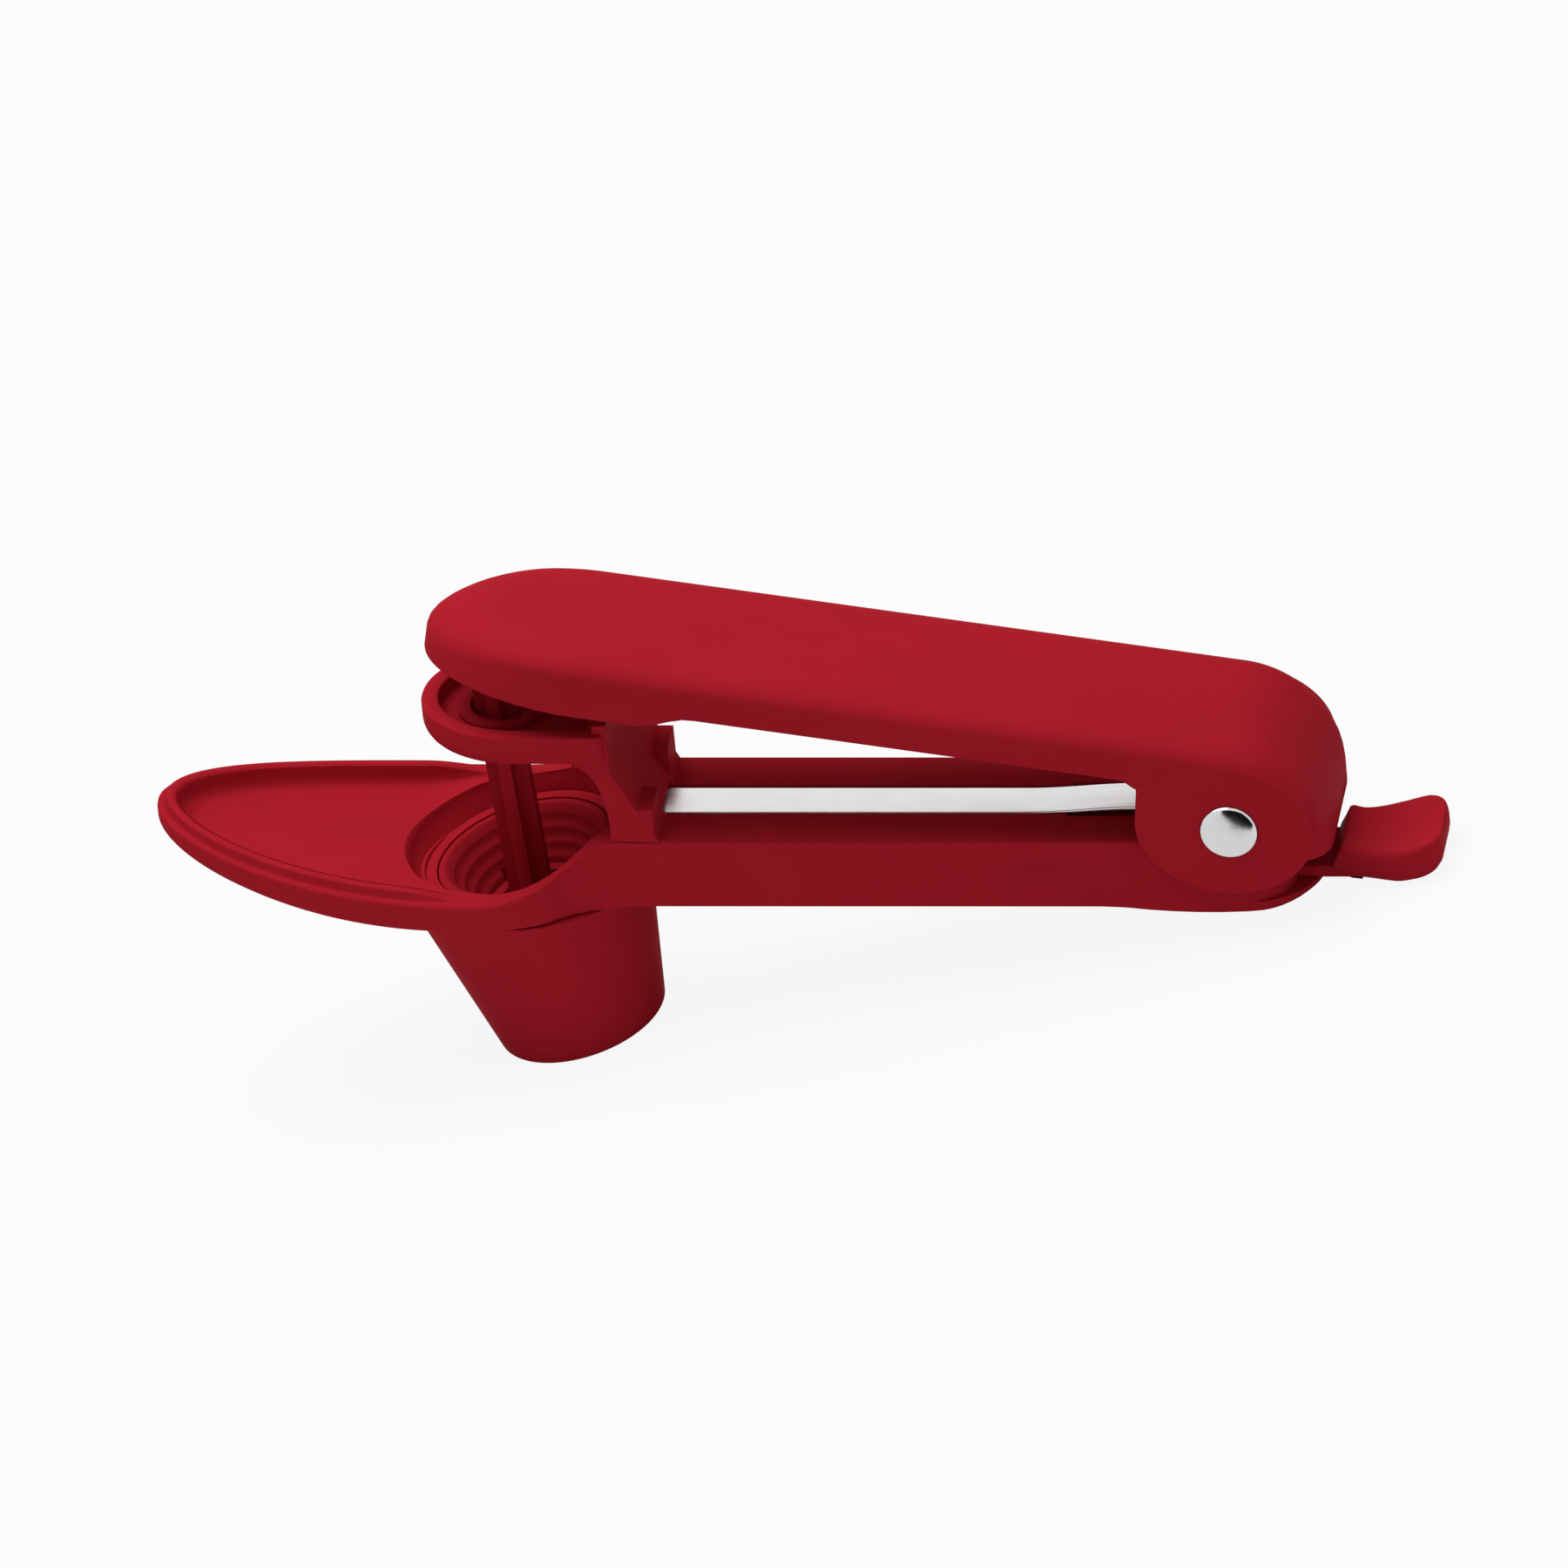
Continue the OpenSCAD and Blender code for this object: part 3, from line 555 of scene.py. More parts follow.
class Finishes:
    """All the finishes of the tool, each made once."""

    def __init__(self) -> None:
        """Make the materials."""
        red = (0.43, 0.0135, 0.025)
        self.moulding = SatinMoulding("red_moulding", red).material()
        self.seat = SatinMoulding("red_seat", scaled(red, 0.9), roughness=0.55).material()
        bright, rolled = (0.8, 0.8, 0.795), (0.02, 1, 1)
        self.leaf = WorkedSteel("rolled_leaf_steel", bright, 0.3, rolled, line_depth=0.002).material()
        self.pin = WorkedSteel("polished_pin_steel", (0.68, 0.68, 0.68), 0.14, (1, 0.05, 1)).material()
        self.screws = WorkedSteel("plated_screw_steel", (0.62, 0.62, 0.63), 0.28, (1, 1, 0.1)).material()
        self.nylon = SatinMoulding("natural_nylon", (0.72, 0.7, 0.64), roughness=0.5, flow=0.04).material()


def settle(piece: bpy.types.Object, body: Body, slot: str, finish: bpy.types.Material, *nodes: str) -> None:
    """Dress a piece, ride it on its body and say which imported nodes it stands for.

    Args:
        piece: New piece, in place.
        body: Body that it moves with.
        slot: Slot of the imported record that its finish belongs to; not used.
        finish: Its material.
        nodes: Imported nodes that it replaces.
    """
    dress(piece, finish)
    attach(piece, body.value)
    if nodes:
        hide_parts(*nodes)
    count = len(piece.data.polygons)
    LOG.info("%s: %d faces, rides on %s, stands for %s", piece.name, count, body.value, nodes or "-")


# Sub-assemblies


@dataclass
class Base:
    """Lower moulding: loading tray, collar round the cup, arm, heel and pivot lugs."""

    arm_half: float = 12
    arm_h: float = 11.3
    arm_rear: float = 118
    rear_round: float = 7
    heel_h: float = 12.3
    heel_sweep: float = 100
    heel_end: float = 122
    heel_top: float = -10.3
    tray_mid: float = -4
    prow_len: float = 49
    tray_half: float = 20
    collar_len: float = 22
    collar_blend: float = 9
    band_level: float = 6.3
    band_sweep: float = 185
    shoulder_r: float = 24
    rim_h: float = 1.5
    tray_depth: float = 3.1
    belly_x: float = -8
    belly_sweep: float = 118
    mouth_z: float = 30.3
    mouth_r: float = 16.5
    spigot_r: float = 15.4
    groove_w: float = 8
    lug_in: float = 7
    lug_out: float = 11.5
    lug_r: float = 6.5
    lug_edge: float = 0.4
    hollow_start: float = 27
    hollow_end: float = 80
    hollow_half: float = 9.2
    hollows: int = 4
    rib_t: float = 1.6
    deck_t: float = 2.8

    def outline(self) -> list[Flat]:
        """Draw the moulding's plan.

        Returns:
            A closed outline, starting at the middle of the rear end.
        """
        half: list[Flat] = [(self.arm_rear, 0), (self.arm_rear, 2.5), (self.arm_rear, 5)]
        corner = (self.arm_rear - self.rear_round, self.arm_half - self.rear_round)
        half += arc(corner, self.rear_round, self.rear_round, 0, 90, 9)
        t0 = math.asin(self.arm_half / self.tray_half)
        x0 = self.tray_mid + self.collar_len * math.cos(t0)
        half += [(x, self.arm_half) for x in between(corner[0] - 4, x0 + self.collar_blend + 3, 24)]
        t1 = t0 + math.radians(22)
        end = (self.tray_mid + self.collar_len * math.cos(t1), self.tray_half * math.sin(t1))
        for k in between(0, 1, 13):
            p, q, r = (1 - k) ** 2, 2 * k * (1 - k), k * k
            x = p * (x0 + self.collar_blend) + q * x0 + r * end[0]
            half.append((x, (p + q) * self.arm_half + r * end[1]))
        middle = (self.tray_mid, 0)
        half += arc(middle, self.collar_len, self.tray_half, math.degrees(t1) + 3, 88, 10)
        half += arc(middle, self.prow_len, self.tray_half, 91, 180, 44)
        half[-1] = (self.tray_mid - self.prow_len, 0)
        return mirrored(half)

    def heel_outline(self, plan: Sequence[Flat]) -> list[Flat]:
        """Stretch the plan's rear end to the heel below the lock.

        Args:
            plan: The moulding's plan.

        Returns:
            The plan at the heel's level.
        """
        found = []
        for x, y in plan:
            if x > 112:
                a = math.asin(max(-1.0, min(1.0, y / self.arm_half)))
                x = self.heel_end - 10 + 10 * math.cos(a)
            found.append((x, y))
        return found

    def band_z(self, x: float) -> float:
        """Find the height of the outer band's top edge.

        Args:
            x: Place along the arm.

        Returns:
            The height over the arm's top face.
        """
        dip = self.tray_mid + 1
        if x < dip:
            return -self.band_level + (x - dip) ** 2 / (2 * self.band_sweep)
        reach = math.sqrt(self.shoulder_r**2 - (self.shoulder_r - self.band_level) ** 2)
        along_shoulder = min(x - dip, reach)
        return -self.band_level + self.shoulder_r - math.sqrt(self.shoulder_r**2 - along_shoulder**2)

    def belly_z(self, x: float) -> float:
        """Find the height of the underside.

        Args:
            x: Place along the arm.

        Returns:
            The height over the arm's top face.
        """
        rise = min(x - self.belly_x, 0) ** 2 / (2 * self.belly_sweep)
        heel = -self.heel_h + (x - 105.8) ** 2 / (2 * self.heel_sweep)
        return min(-self.arm_h + rise, heel) if x > 60 else -self.arm_h + rise

    def edge(self, x: float) -> float:
        """Radius of the underside's edge, larger round the tray."""
        room = self.band_z(x) - self.belly_z(x)
        return 0.3 + (min(1.7, 0.38 * room) - 0.3) * step(24, -8, x)

    def side_z(self, x: float) -> float:
        """Height at which the rounded underside has become the upright side."""
        return max(self.heel_top, self.belly_z(x) + self.edge(x) + 0.05)

    def tray_share(self, x: float) -> float:
        """Share of the tray's rim and hollow at x, which fade towards the cup."""
        return step(self.tray_mid + 1, self.tray_mid - 11, x)

    def body(self) -> bpy.types.Object:
        """Loft the moulding from its underside, over the rim, to the tray's floor.

        Returns:
            A closed solid without its cuts.
        """
        plan = self.outline()
        low_plan = self.heel_outline(plan)
        rings: list[list[Vector]] = []

        def ring(outline: Sequence[Flat], d: float, level: Level, spread: float = 1) -> None:
            """Add a ring drawn in by d, at a level read along the arm, with its width shared by spread."""
            rings.append([ARM.place(x, y * spread, level(x)) for x, y in inset(outline, d)])

        for share in (0, 0.35, 0.7):
            ring(low_plan, 3.2, self.belly_z, share)
        radii = [self.edge(x) for x, _ in low_plan]
        for t in between(0, 90, 7):
            s, c = math.sin(math.radians(t)), math.cos(math.radians(t))
            drawn = inset(low_plan, [r * (1 - s) for r in radii])
            rings.append([ARM.place(x, y, self.belly_z(x) + r * (1 - c)) for (x, y), r in zip(drawn, radii)])
        ring(low_plan, 0, self.side_z)
        ring(plan, 0, self.side_z)
        share, band = self.tray_share, self.band_z
        ring(plan, 0, lambda x: (self.side_z(x) + band(x) - 0.7) / 2)
        ring(plan, 0, lambda x: band(x) - 0.7)
        for d, drop in ((0.09, 0.33), (0.3, 0.1), (0.62, 0.0)):
            ring(plan, d, lambda x, k=drop: band(x) - k)
        bead = ((1.0, 0.03), (1.2, 0.2), (1.32, 0.55), (1.45, 0.85), (1.7, 0.97), (2.1, 1.0))
        for d, rise in (*bead, (2.5, 0.97), (2.85, 0.82), (3.05, 0.5)):
            ring(plan, d, lambda x, k=rise: band(x) + self.rim_h * k * share(x))
        for d, fall in ((3.15, 0.1), (3.3, 0.55), (3.6, 0.82), (4.1, 0.95), (4.7, 1.0)):
            ring(plan, d, lambda x, k=fall: band(x) + (self.rim_h - self.tray_depth * k) * share(x))
        floor: Level = lambda x: band(x) + (self.rim_h - self.tray_depth) * share(x)
        for spread in (0.75, 0.4, 0):
            ring(plan, 4.7, lambda x, k=spread: floor(x) - 0.25 * (1 - k * k) * share(x), spread)
        return skin("base_moulding", rings)

    def mouth(self) -> bpy.types.Object:
        """Make the cutter for the cup's mouth, with a soft flare at its top.

        Returns:
            A closed cutter.
        """
        z, r = self.mouth_z, self.mouth_r
        flare = [(r, z + 2.2), (r + 0.08, z + 3.4), (r + 0.3, z + 4.2), (r + 0.7, z + 4.9)]
        flare.append((r + 1.2, z + 5.4))
        profile = [(0, 5), (self.spigot_r, 5), (self.spigot_r, z), *flare, (r + 1.2, z + 16), (0, z + 16)]
        return lathe("mouth", profile, standing, 144)

    def build(self, finishes: Finishes) -> None:
        """Make the moulding and its lugs, cut what they hold, and dress them.

        Args:
            finishes: The tool's finishes.
        """
        piece = self.body()
        combine(piece, self.mouth(), Cut.TAKE_AWAY)
        half = self.groove_w / 2
        cuts = [
            ((15.4, -half, -0.9), (100.5, half, 9)),
            ((25, -half, -1.3), (99.5, half, 9)),
            ((84, -half - 0.6, -3.4), (101, half + 0.6, 9)),
            ((104.5, -5.6, -10.31), (130, 5.6, -8.1)),
        ]
        start, wide = self.hollow_start, self.hollow_half
        pitch = (self.hollow_end - start) / self.hollows
        for i in range(self.hollows):
            end = start + (i + 1) * pitch - self.rib_t
            cuts.append(((start + i * pitch, -wide, -14), (end, wide, -self.deck_t)))
        for low, high in cuts:
            combine(piece, block("slot", low, high, ARM.place), Cut.TAKE_AWAY)
        for side in (-1, 1):
            bore = [(0, -14), (2.8, -14), (2.8, -2.8), (1.6, -2.8), (1.6, 3), (0, 3)]
            hole = lathe("bore", bore, lambda x, y, z, s=side: ARM.place(20.4 + x, s * 8.6 + y, z), 40)
            combine(piece, hole, Cut.TAKE_AWAY)
        shade(piece, 32)
        settle(piece, Body.BASE, "red_moulding", finishes.moulding, "base_body")
        for side, word in ((-1, "near"), (1, "far")):
            lug = self.lug(f"pivot_lug_{word}", side)
            shade(lug)
            settle(lug, Body.BASE, "red_moulding", finishes.moulding)

    def lug(self, name: str, side: int) -> bpy.types.Object:
        """Make one of the lugs that carry the pin.

        Args:
            name: Name of the new object.
            side: -1 for the near side, 1 for the far side.

        Returns:
            A rounded lug standing in the arm.
        """
        r, low, high, e = self.lug_r, self.lug_in, self.lug_out, self.lug_edge
        plan = arc((0, 0), r, r, 0, 180, 25) + [(-r, -r), (r, -r)]
        rings = []
        for y, d in ((low, e), (low + e, 0), (high - e, 0), (high, e)):
            rings.append([ARM.place(ARM.pivot_x + x, side * y, ARM.pivot_z + z) for x, z in inset(plan, d)])
        return skin(name, rings, caps=True)


@dataclass
class Cup:
    """Pit chute under the base, and the stepped seat that holds the fruit."""

    mouth_z: float = 30.3
    foot_r: float = 12.7
    chute_r: float = 19.1
    wall: float = 1.8
    lip: float = 0.6
    deck: float = -11.3
    deck_t: float = 2.2
    spigot_r: float = 15.2
    spigot_h: float = 8
    ledge_r: float = 11.9
    seat_r: float = 13.4
    seat_depth: float = 9
    hole_r: float = 6.2
    steps: int = 4
    flange: float = 1.7

    def deck_z(self, x: float, level: float) -> float:
        """Height over the table of an arm level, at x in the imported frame."""
        c, s = ARM.slope
        start = ARM.place(0, 0, level)
        return start.z / MM - (x - start.x / MM) * s / c

    def cone_top(self, turn: float, draw: float, level: float) -> Flat:
        """Find where the cone meets a level of the arm.

        Args:
            turn: Angle round the pitting axis.
            draw: How far the cone is drawn in.
            level: Level of the arm.

        Returns:
            Radius and height of the meeting point.
        """
        rate = (self.chute_r - self.foot_r) / self.mouth_z
        z = 25.0
        for _ in range(30):
            r = self.foot_r - draw + rate * z
            z = self.deck_z(r * math.cos(turn), level)
        return self.foot_r - draw + rate * z, z

    def chute(self) -> bpy.types.Object:
        """Make the spout: outside cone, round foot, hollow, spigot and ledge.

        Returns:
            A closed solid.
        """
        turns = [2 * math.pi * i / 128 for i in range(128)]
        rate = (self.chute_r - self.foot_r) / self.mouth_z
        out, inn = self.foot_r, self.foot_r - self.wall
        low = self.mouth_z - self.spigot_h
        foot: list[Flat] = []
        for t in between(0, 90, 7):
            s, c = math.sin(math.radians(t)), math.cos(math.radians(t))
            foot.append((out - self.lip * (1 - s) + rate * self.lip * (1 - c), self.lip * (1 - c)))
        lines: list[list[Flat]] = []
        under_deck, shelf = self.deck - self.deck_t, self.mouth_z - self.flange
        plug, ledge = self.spigot_r, self.ledge_r
        for turn in turns:
            top, under = self.cone_top(turn, 0, self.deck), self.cone_top(turn, self.wall, under_deck)
            x = math.cos(turn)
            line = [(inn + 0.3, 0), *foot]
            line += [(out + (top[0] - out) * k, top[1] * k) for k in (0.3, 0.55, 0.8, 1)]
            line += [(plug, self.deck_z(plug * x, self.deck)), (plug, self.mouth_z)]
            line += [(self.seat_r + 0.1, self.mouth_z), (self.seat_r + 0.1, shelf)]
            line += [(ledge, shelf), (ledge, low + 0.3), (ledge + 0.3, low)]
            line += [(plug - 0.3, low), (plug, low + 0.3)]
            line += [(plug, self.deck_z(plug * x, under_deck)), (under[0] - 0.3, under[1])]
            line += [(inn + (under[0] - inn) * k, under[1] * k) for k in (0.95, 0.5, 0.02)]
            lines.append(line + [line[0]])
        rings = []
        for level in zip(*lines):
            rings.append([standing(r * math.cos(t), r * math.sin(t), z) for (r, z), t in zip(level, turns)])
        return skin("pit_spout", rings)

    def seat(self) -> bpy.types.Object:
        """Make the seat: a rim, rounded grip steps and slotted lower fingers.

        Returns:
            A closed solid.
        """
        z, r = self.mouth_z, self.seat_r
        run = (r - 1.8 - self.hole_r - 1) / self.steps
        fall = (self.seat_depth - 1.4) / self.steps
        profile = [(r, z - self.flange), (r, z - 0.6), (r - 0.18, z - 0.18), (r - 0.6, z), (r - 1.1, z)]
        profile += [(r - 1.5, z - 0.25)]
        for i in range(self.steps):
            x, top = r - 1.8 - i * run, z - 0.8 - i * fall
            profile += [(x - 0.05, top - 0.1), (x - 0.3, top - 0.3), (x - 0.46, top - 0.7)]
            profile.append((x - 0.6, top - 0.72 * fall))
        end = z - self.seat_depth
        profile += [(self.hole_r + 0.1, end + 0.9), (self.hole_r, end + 0.3), (self.hole_r + 0.3, end)]
        profile += [(self.hole_r + 1.7, end), (r - 1.6, z - self.flange)]
        piece = lathe("cherry_seat_steps", profile, standing, 128)
        low, high = (0, -0.6, end - 1), (self.hole_r + 2.4, 0.6, z - 3.6)
        for turn in (45, 135, 225, 315):
            combine(piece, block("slot", low, high, self.turned(math.radians(turn))), Cut.TAKE_AWAY)
        return piece

    def turned(self, turn: float) -> Place:
        """Make a frame that is turned round the pitting axis by an angle in radians."""
        c, s = math.cos(turn), math.sin(turn)
        return lambda x, y, h: standing(x * c - y * s, x * s + y * c, h)

    def build(self, finishes: Finishes) -> None:
        """Make and dress the chute and the seat.

        Args:
            finishes: The tool's finishes.
        """
        chute, seat = self.chute(), self.seat()
        shade(chute, 40)
        shade(seat, 32)
        settle(chute, Body.BASE, "red_moulding", finishes.moulding, "pit_chute")
        settle(seat, Body.BASE, "red_seat", finishes.seat, "cherry_seat")


@dataclass
class Lever:
    """Upper moulding: shallow shell with a skirted head, a rolled rear end and flat lobes round the pin."""

    half: float = 14.4
    front: float = 122.2
    rear: float = 15.2
    rear_axis: float = -2
    nose_len: float = 24
    nose_soft: float = 1.8
    nose_square: float = 1.06
    nose_lean: float = 0.3
    tail_round: float = 6.5
    top: float = 13.42
    top_round: float = 4
    top_fall: float = 3
    nose_fall: float = 2.6
    crown: float = 0.3
    roll_long: float = 17.2
    roll_high: float = 19.9
    wall: float = 2
    cheek_low: float = 6.1
    skirt_drop: float = 2.3
    lobe_u: float = -0.75
    lobe_v: float = 0
    lobe_long: float = 13.3
    lobe_high: float = 10.95
    rear_low: float = -4
    pin_bore: float = 2.55
    lobe_front: float = -14.05
    fillet: float = 1.3
    rod_lean: float = 13.35
    rod_foot: Flat = (-110.28, -7.52)

    def plan(self, d: float) -> list[Flat]:
        """Draw the lever's plan, drawn in by d, and further in at its soft nose.

        Args:
            d: Distance that the sides are drawn in.

        Returns:
            A closed outline, starting at the middle of the rear end.
        """
        r = max(0.6, self.tail_round - d)
        soft = self.nose_soft * min(d, self.top_round)
        side, back = self.half - d, self.rear - d
        half: list[Flat] = [(back, max(0.0, side - r) * k) for k in (0, 0.33, 0.66)]
        half += arc((back - r, max(0.0, side - r)), r, min(r, side), 0, 90, 10)
        start, end, full = back - r, self.nose_len - self.front, self.rear - self.tail_round
        stations = [*between(6, -13, 39), -13.4, -13.7, -13.9, -14, -14.04, *between(-14.3, -17, 7)]
        stations += between(-19, -96, 40)
        for u in stations:
            half.append((start + (u - full) * (end - start) / (end - full), side))
        for t in between(90, 180, 30):
            a = math.radians(t)
            far, wide = abs(math.cos(a)) ** self.nose_square, math.sin(a) ** self.nose_square
            half.append((end - (self.nose_len - d - soft) * far, side * wide))
        half[-1] = (half[-1][0], 0)
        return mirrored(half)

    def low_edge(self, u: float) -> float:
        """Find the height of the lower edge.

        Args:
            u: Place along the lever, from the pin.

        Returns:
            The height over the pin's axis.
        """
        past = (u - self.lobe_u) / self.lobe_long
        if u > self.lobe_front:
            lobe = self.lobe_v - self.lobe_high * math.sqrt(max(0.0, 1 - past * past))
            return min(lobe, self.rear_low) if u > 0 else lobe
        cheek = self.cheek_low - self.fillet * step(-17, self.lobe_front, u)
        return cheek - self.skirt_drop * step(-81, -89, u)

    def roll(self, u: float) -> float:
        """Drop of the rolled rear end below the top, as a negative height."""
        past = max(0.0, u - self.rear_axis) / self.roll_long
        return self.roll_high * (math.sqrt(max(0.0, 1 - past * past)) - 1)

    def brow(self, d: float, u: float) -> float:
        """Height of the top's rounded edge, which falls further at the nose."""
        fall = self.top_fall + self.nose_fall * step(-105, -121, u)
        return self.edge(d, self.top_round, fall, self.top)

    def edge(self, d: float, radius: float, fall: float, top: float) -> float:
        """Height of a rounded edge with a slight crown.

        Args:
            d: Distance in from the side.
            radius: Width of the rounding.
            fall: Height of the rounding.
            top: Height of the middle.

        Returns:
            The height there.
        """
        if d < radius:
            return top - fall + (fall - self.crown) * math.sqrt(1 - (1 - d / radius) ** 2)
        return top - self.crown + self.crown * step(radius - 2, self.half, d)

    def place(self, u: float, y: float, v: float) -> Vector:
        """Place a point of the shell, whose nose leans forward towards its lower edge."""
        lean = self.nose_lean * step(-104, -118, u) * max(0.0, self.top - v) / 10
        return ARM.place_lever(u - lean, y, v)

    def shell(self) -> bpy.types.Object:
        """Loft the shell from the middle of its top, round its lower edge, to its inside.

        Returns:
            A closed shell.
        """
        rings: list[list[Vector]] = []
        outer = (14.4, 13, 11, 9, 7.4, 6, 5, 4.2, 3.5, 2.8, 2.2, 1.7, 1.25, 0.85, 0.5, 0.25, 0.08, 0)
        low_plan = self.plan(0)
        edges = [self.low_edge(u) for u, _ in low_plan]
        start: list[float] = []
        for d in outer:
            points = self.plan(d)
            start = [self.brow(d if u < -90 else self.half - abs(y), u) + self.roll(u) for u, y in points]
            start = [max(v, e + 0.7) for v, e in zip(start, edges)]
            rings.append([self.place(u, y, v) for (u, y), v in zip(points, start)])
        for k in (0.3, 0.65, 1):
            heights = [v + (e + 0.6 - v) * k for v, e in zip(start, edges)]
            rings.append([self.place(u, y, v) for (u, y), v in zip(low_plan, heights)])
        rim = ((0.08, 0.28), (0.28, 0.08), (0.6, 0), (1.5, 0), (1.8, 0.08), (1.95, 0.28), (2.0, 0.6))
        for d, lift in rim:
            drawn = inset(low_plan, d)
            rings.append([self.place(u, y, e + lift) for (u, y), e in zip(drawn, edges)])
        radius, fall, roof = self.top_round - self.wall, self.top_fall - 1, self.top - self.wall
        for d in (0, 0.25, 0.6, 1.1, 1.6, 2, 4.5, 7, 10, 12.4):
            rise, points = self.edge(d, radius, fall, roof), self.plan(d + self.wall)
            heights = [max(rise + self.roll(u), e + 0.8) for (u, _), e in zip(points, edges)]
            rings.append([self.place(u, y, v) for (u, y), v in zip(points, heights)])
        return skin("lever_moulding", rings)

    def lobe(self, name: str, side: int) -> bpy.types.Object:
        """Make one of the flat lobes that stand out from the rounded rear corners.

        Args:
            name: Name of the new object.
            side: -1 for the near side, 1 for the far side.

        Returns:
            A flat lobe with a rounded rim, still without its bore.
        """
        rings = []
        outline = arc((self.lobe_u, self.lobe_v), self.lobe_long, self.lobe_high, 0, 357, 120)
        for y, d in ((-1.9, 0.2), (-1.7, 0), (-0.25, 0), (-0.08, 0.04), (0.01, 0.14), (0.03, 0.3)):
            rings.append([ARM.place_lever(u, side * (self.half + y), v) for u, v in inset(outline, d)])
        return skin(name, rings, caps=True)

    def bore(self) -> bpy.types.Object:
        """Make the cutter for the pin's bore."""
        profile = [(0, -30), (self.pin_bore, -30), (self.pin_bore, 30), (0, 30)]
        return lathe("bore", profile, lambda x, y, h: ARM.place_lever(x, h, y), 48)

    def ribs(self) -> bpy.types.Object:
        """Make the boss over the plunger, the two roof ribs and the rib that bears on the leaf.

        Returns:
            One object with the four closed forms.
        """
        lean, base = math.radians(self.rod_lean), self.rod_foot

        def rod(x: float, y: float, z: float) -> Vector:
            """Turn a point on the plunger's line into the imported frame."""
            u = base[0] + x * math.cos(lean) - z * math.sin(lean)
            return ARM.place_lever(u, y, base[1] + x * math.sin(lean) + z * math.cos(lean))

        boss = lathe("lever_ribs", [(0, 13), (4.6, 13), (5, 13.4), (5, 18), (5.8, 19.4), (0, 19.4)], rod, 48)
        for side in (-1, 1):
            rib = block("rib", (-100, side * 6 - 0.7, 9.3), (-18, side * 6 + 0.7, 12), ARM.place_lever)
            combine(boss, rib, Cut.ADD)
        bearing = block("rib", (-13.65, -5, -4.1), (-11.25, 5, 12), ARM.place_lever)
        combine(boss, bearing, Cut.ADD)
        return boss

    def build(self, finishes: Finishes) -> None:
        """Make and dress the lever.

        Args:
            finishes: The tool's finishes.
        """
        shell, ribs = self.shell(), self.ribs()
        lobes = [self.lobe(f"lever_lobe_{word}", side) for word, side in (("near", -1), ("far", 1))]
        for piece in (shell, *lobes):
            combine(piece, self.bore(), Cut.TAKE_AWAY)
            shade(piece, 40)
        soften_edges(ribs, 0.25)
        shade(ribs)
        settle(shell, Body.LEVER, "red_moulding", finishes.moulding, "lever_shell")
        for piece in (ribs, *lobes):
            settle(piece, Body.LEVER, "red_moulding", finishes.moulding)


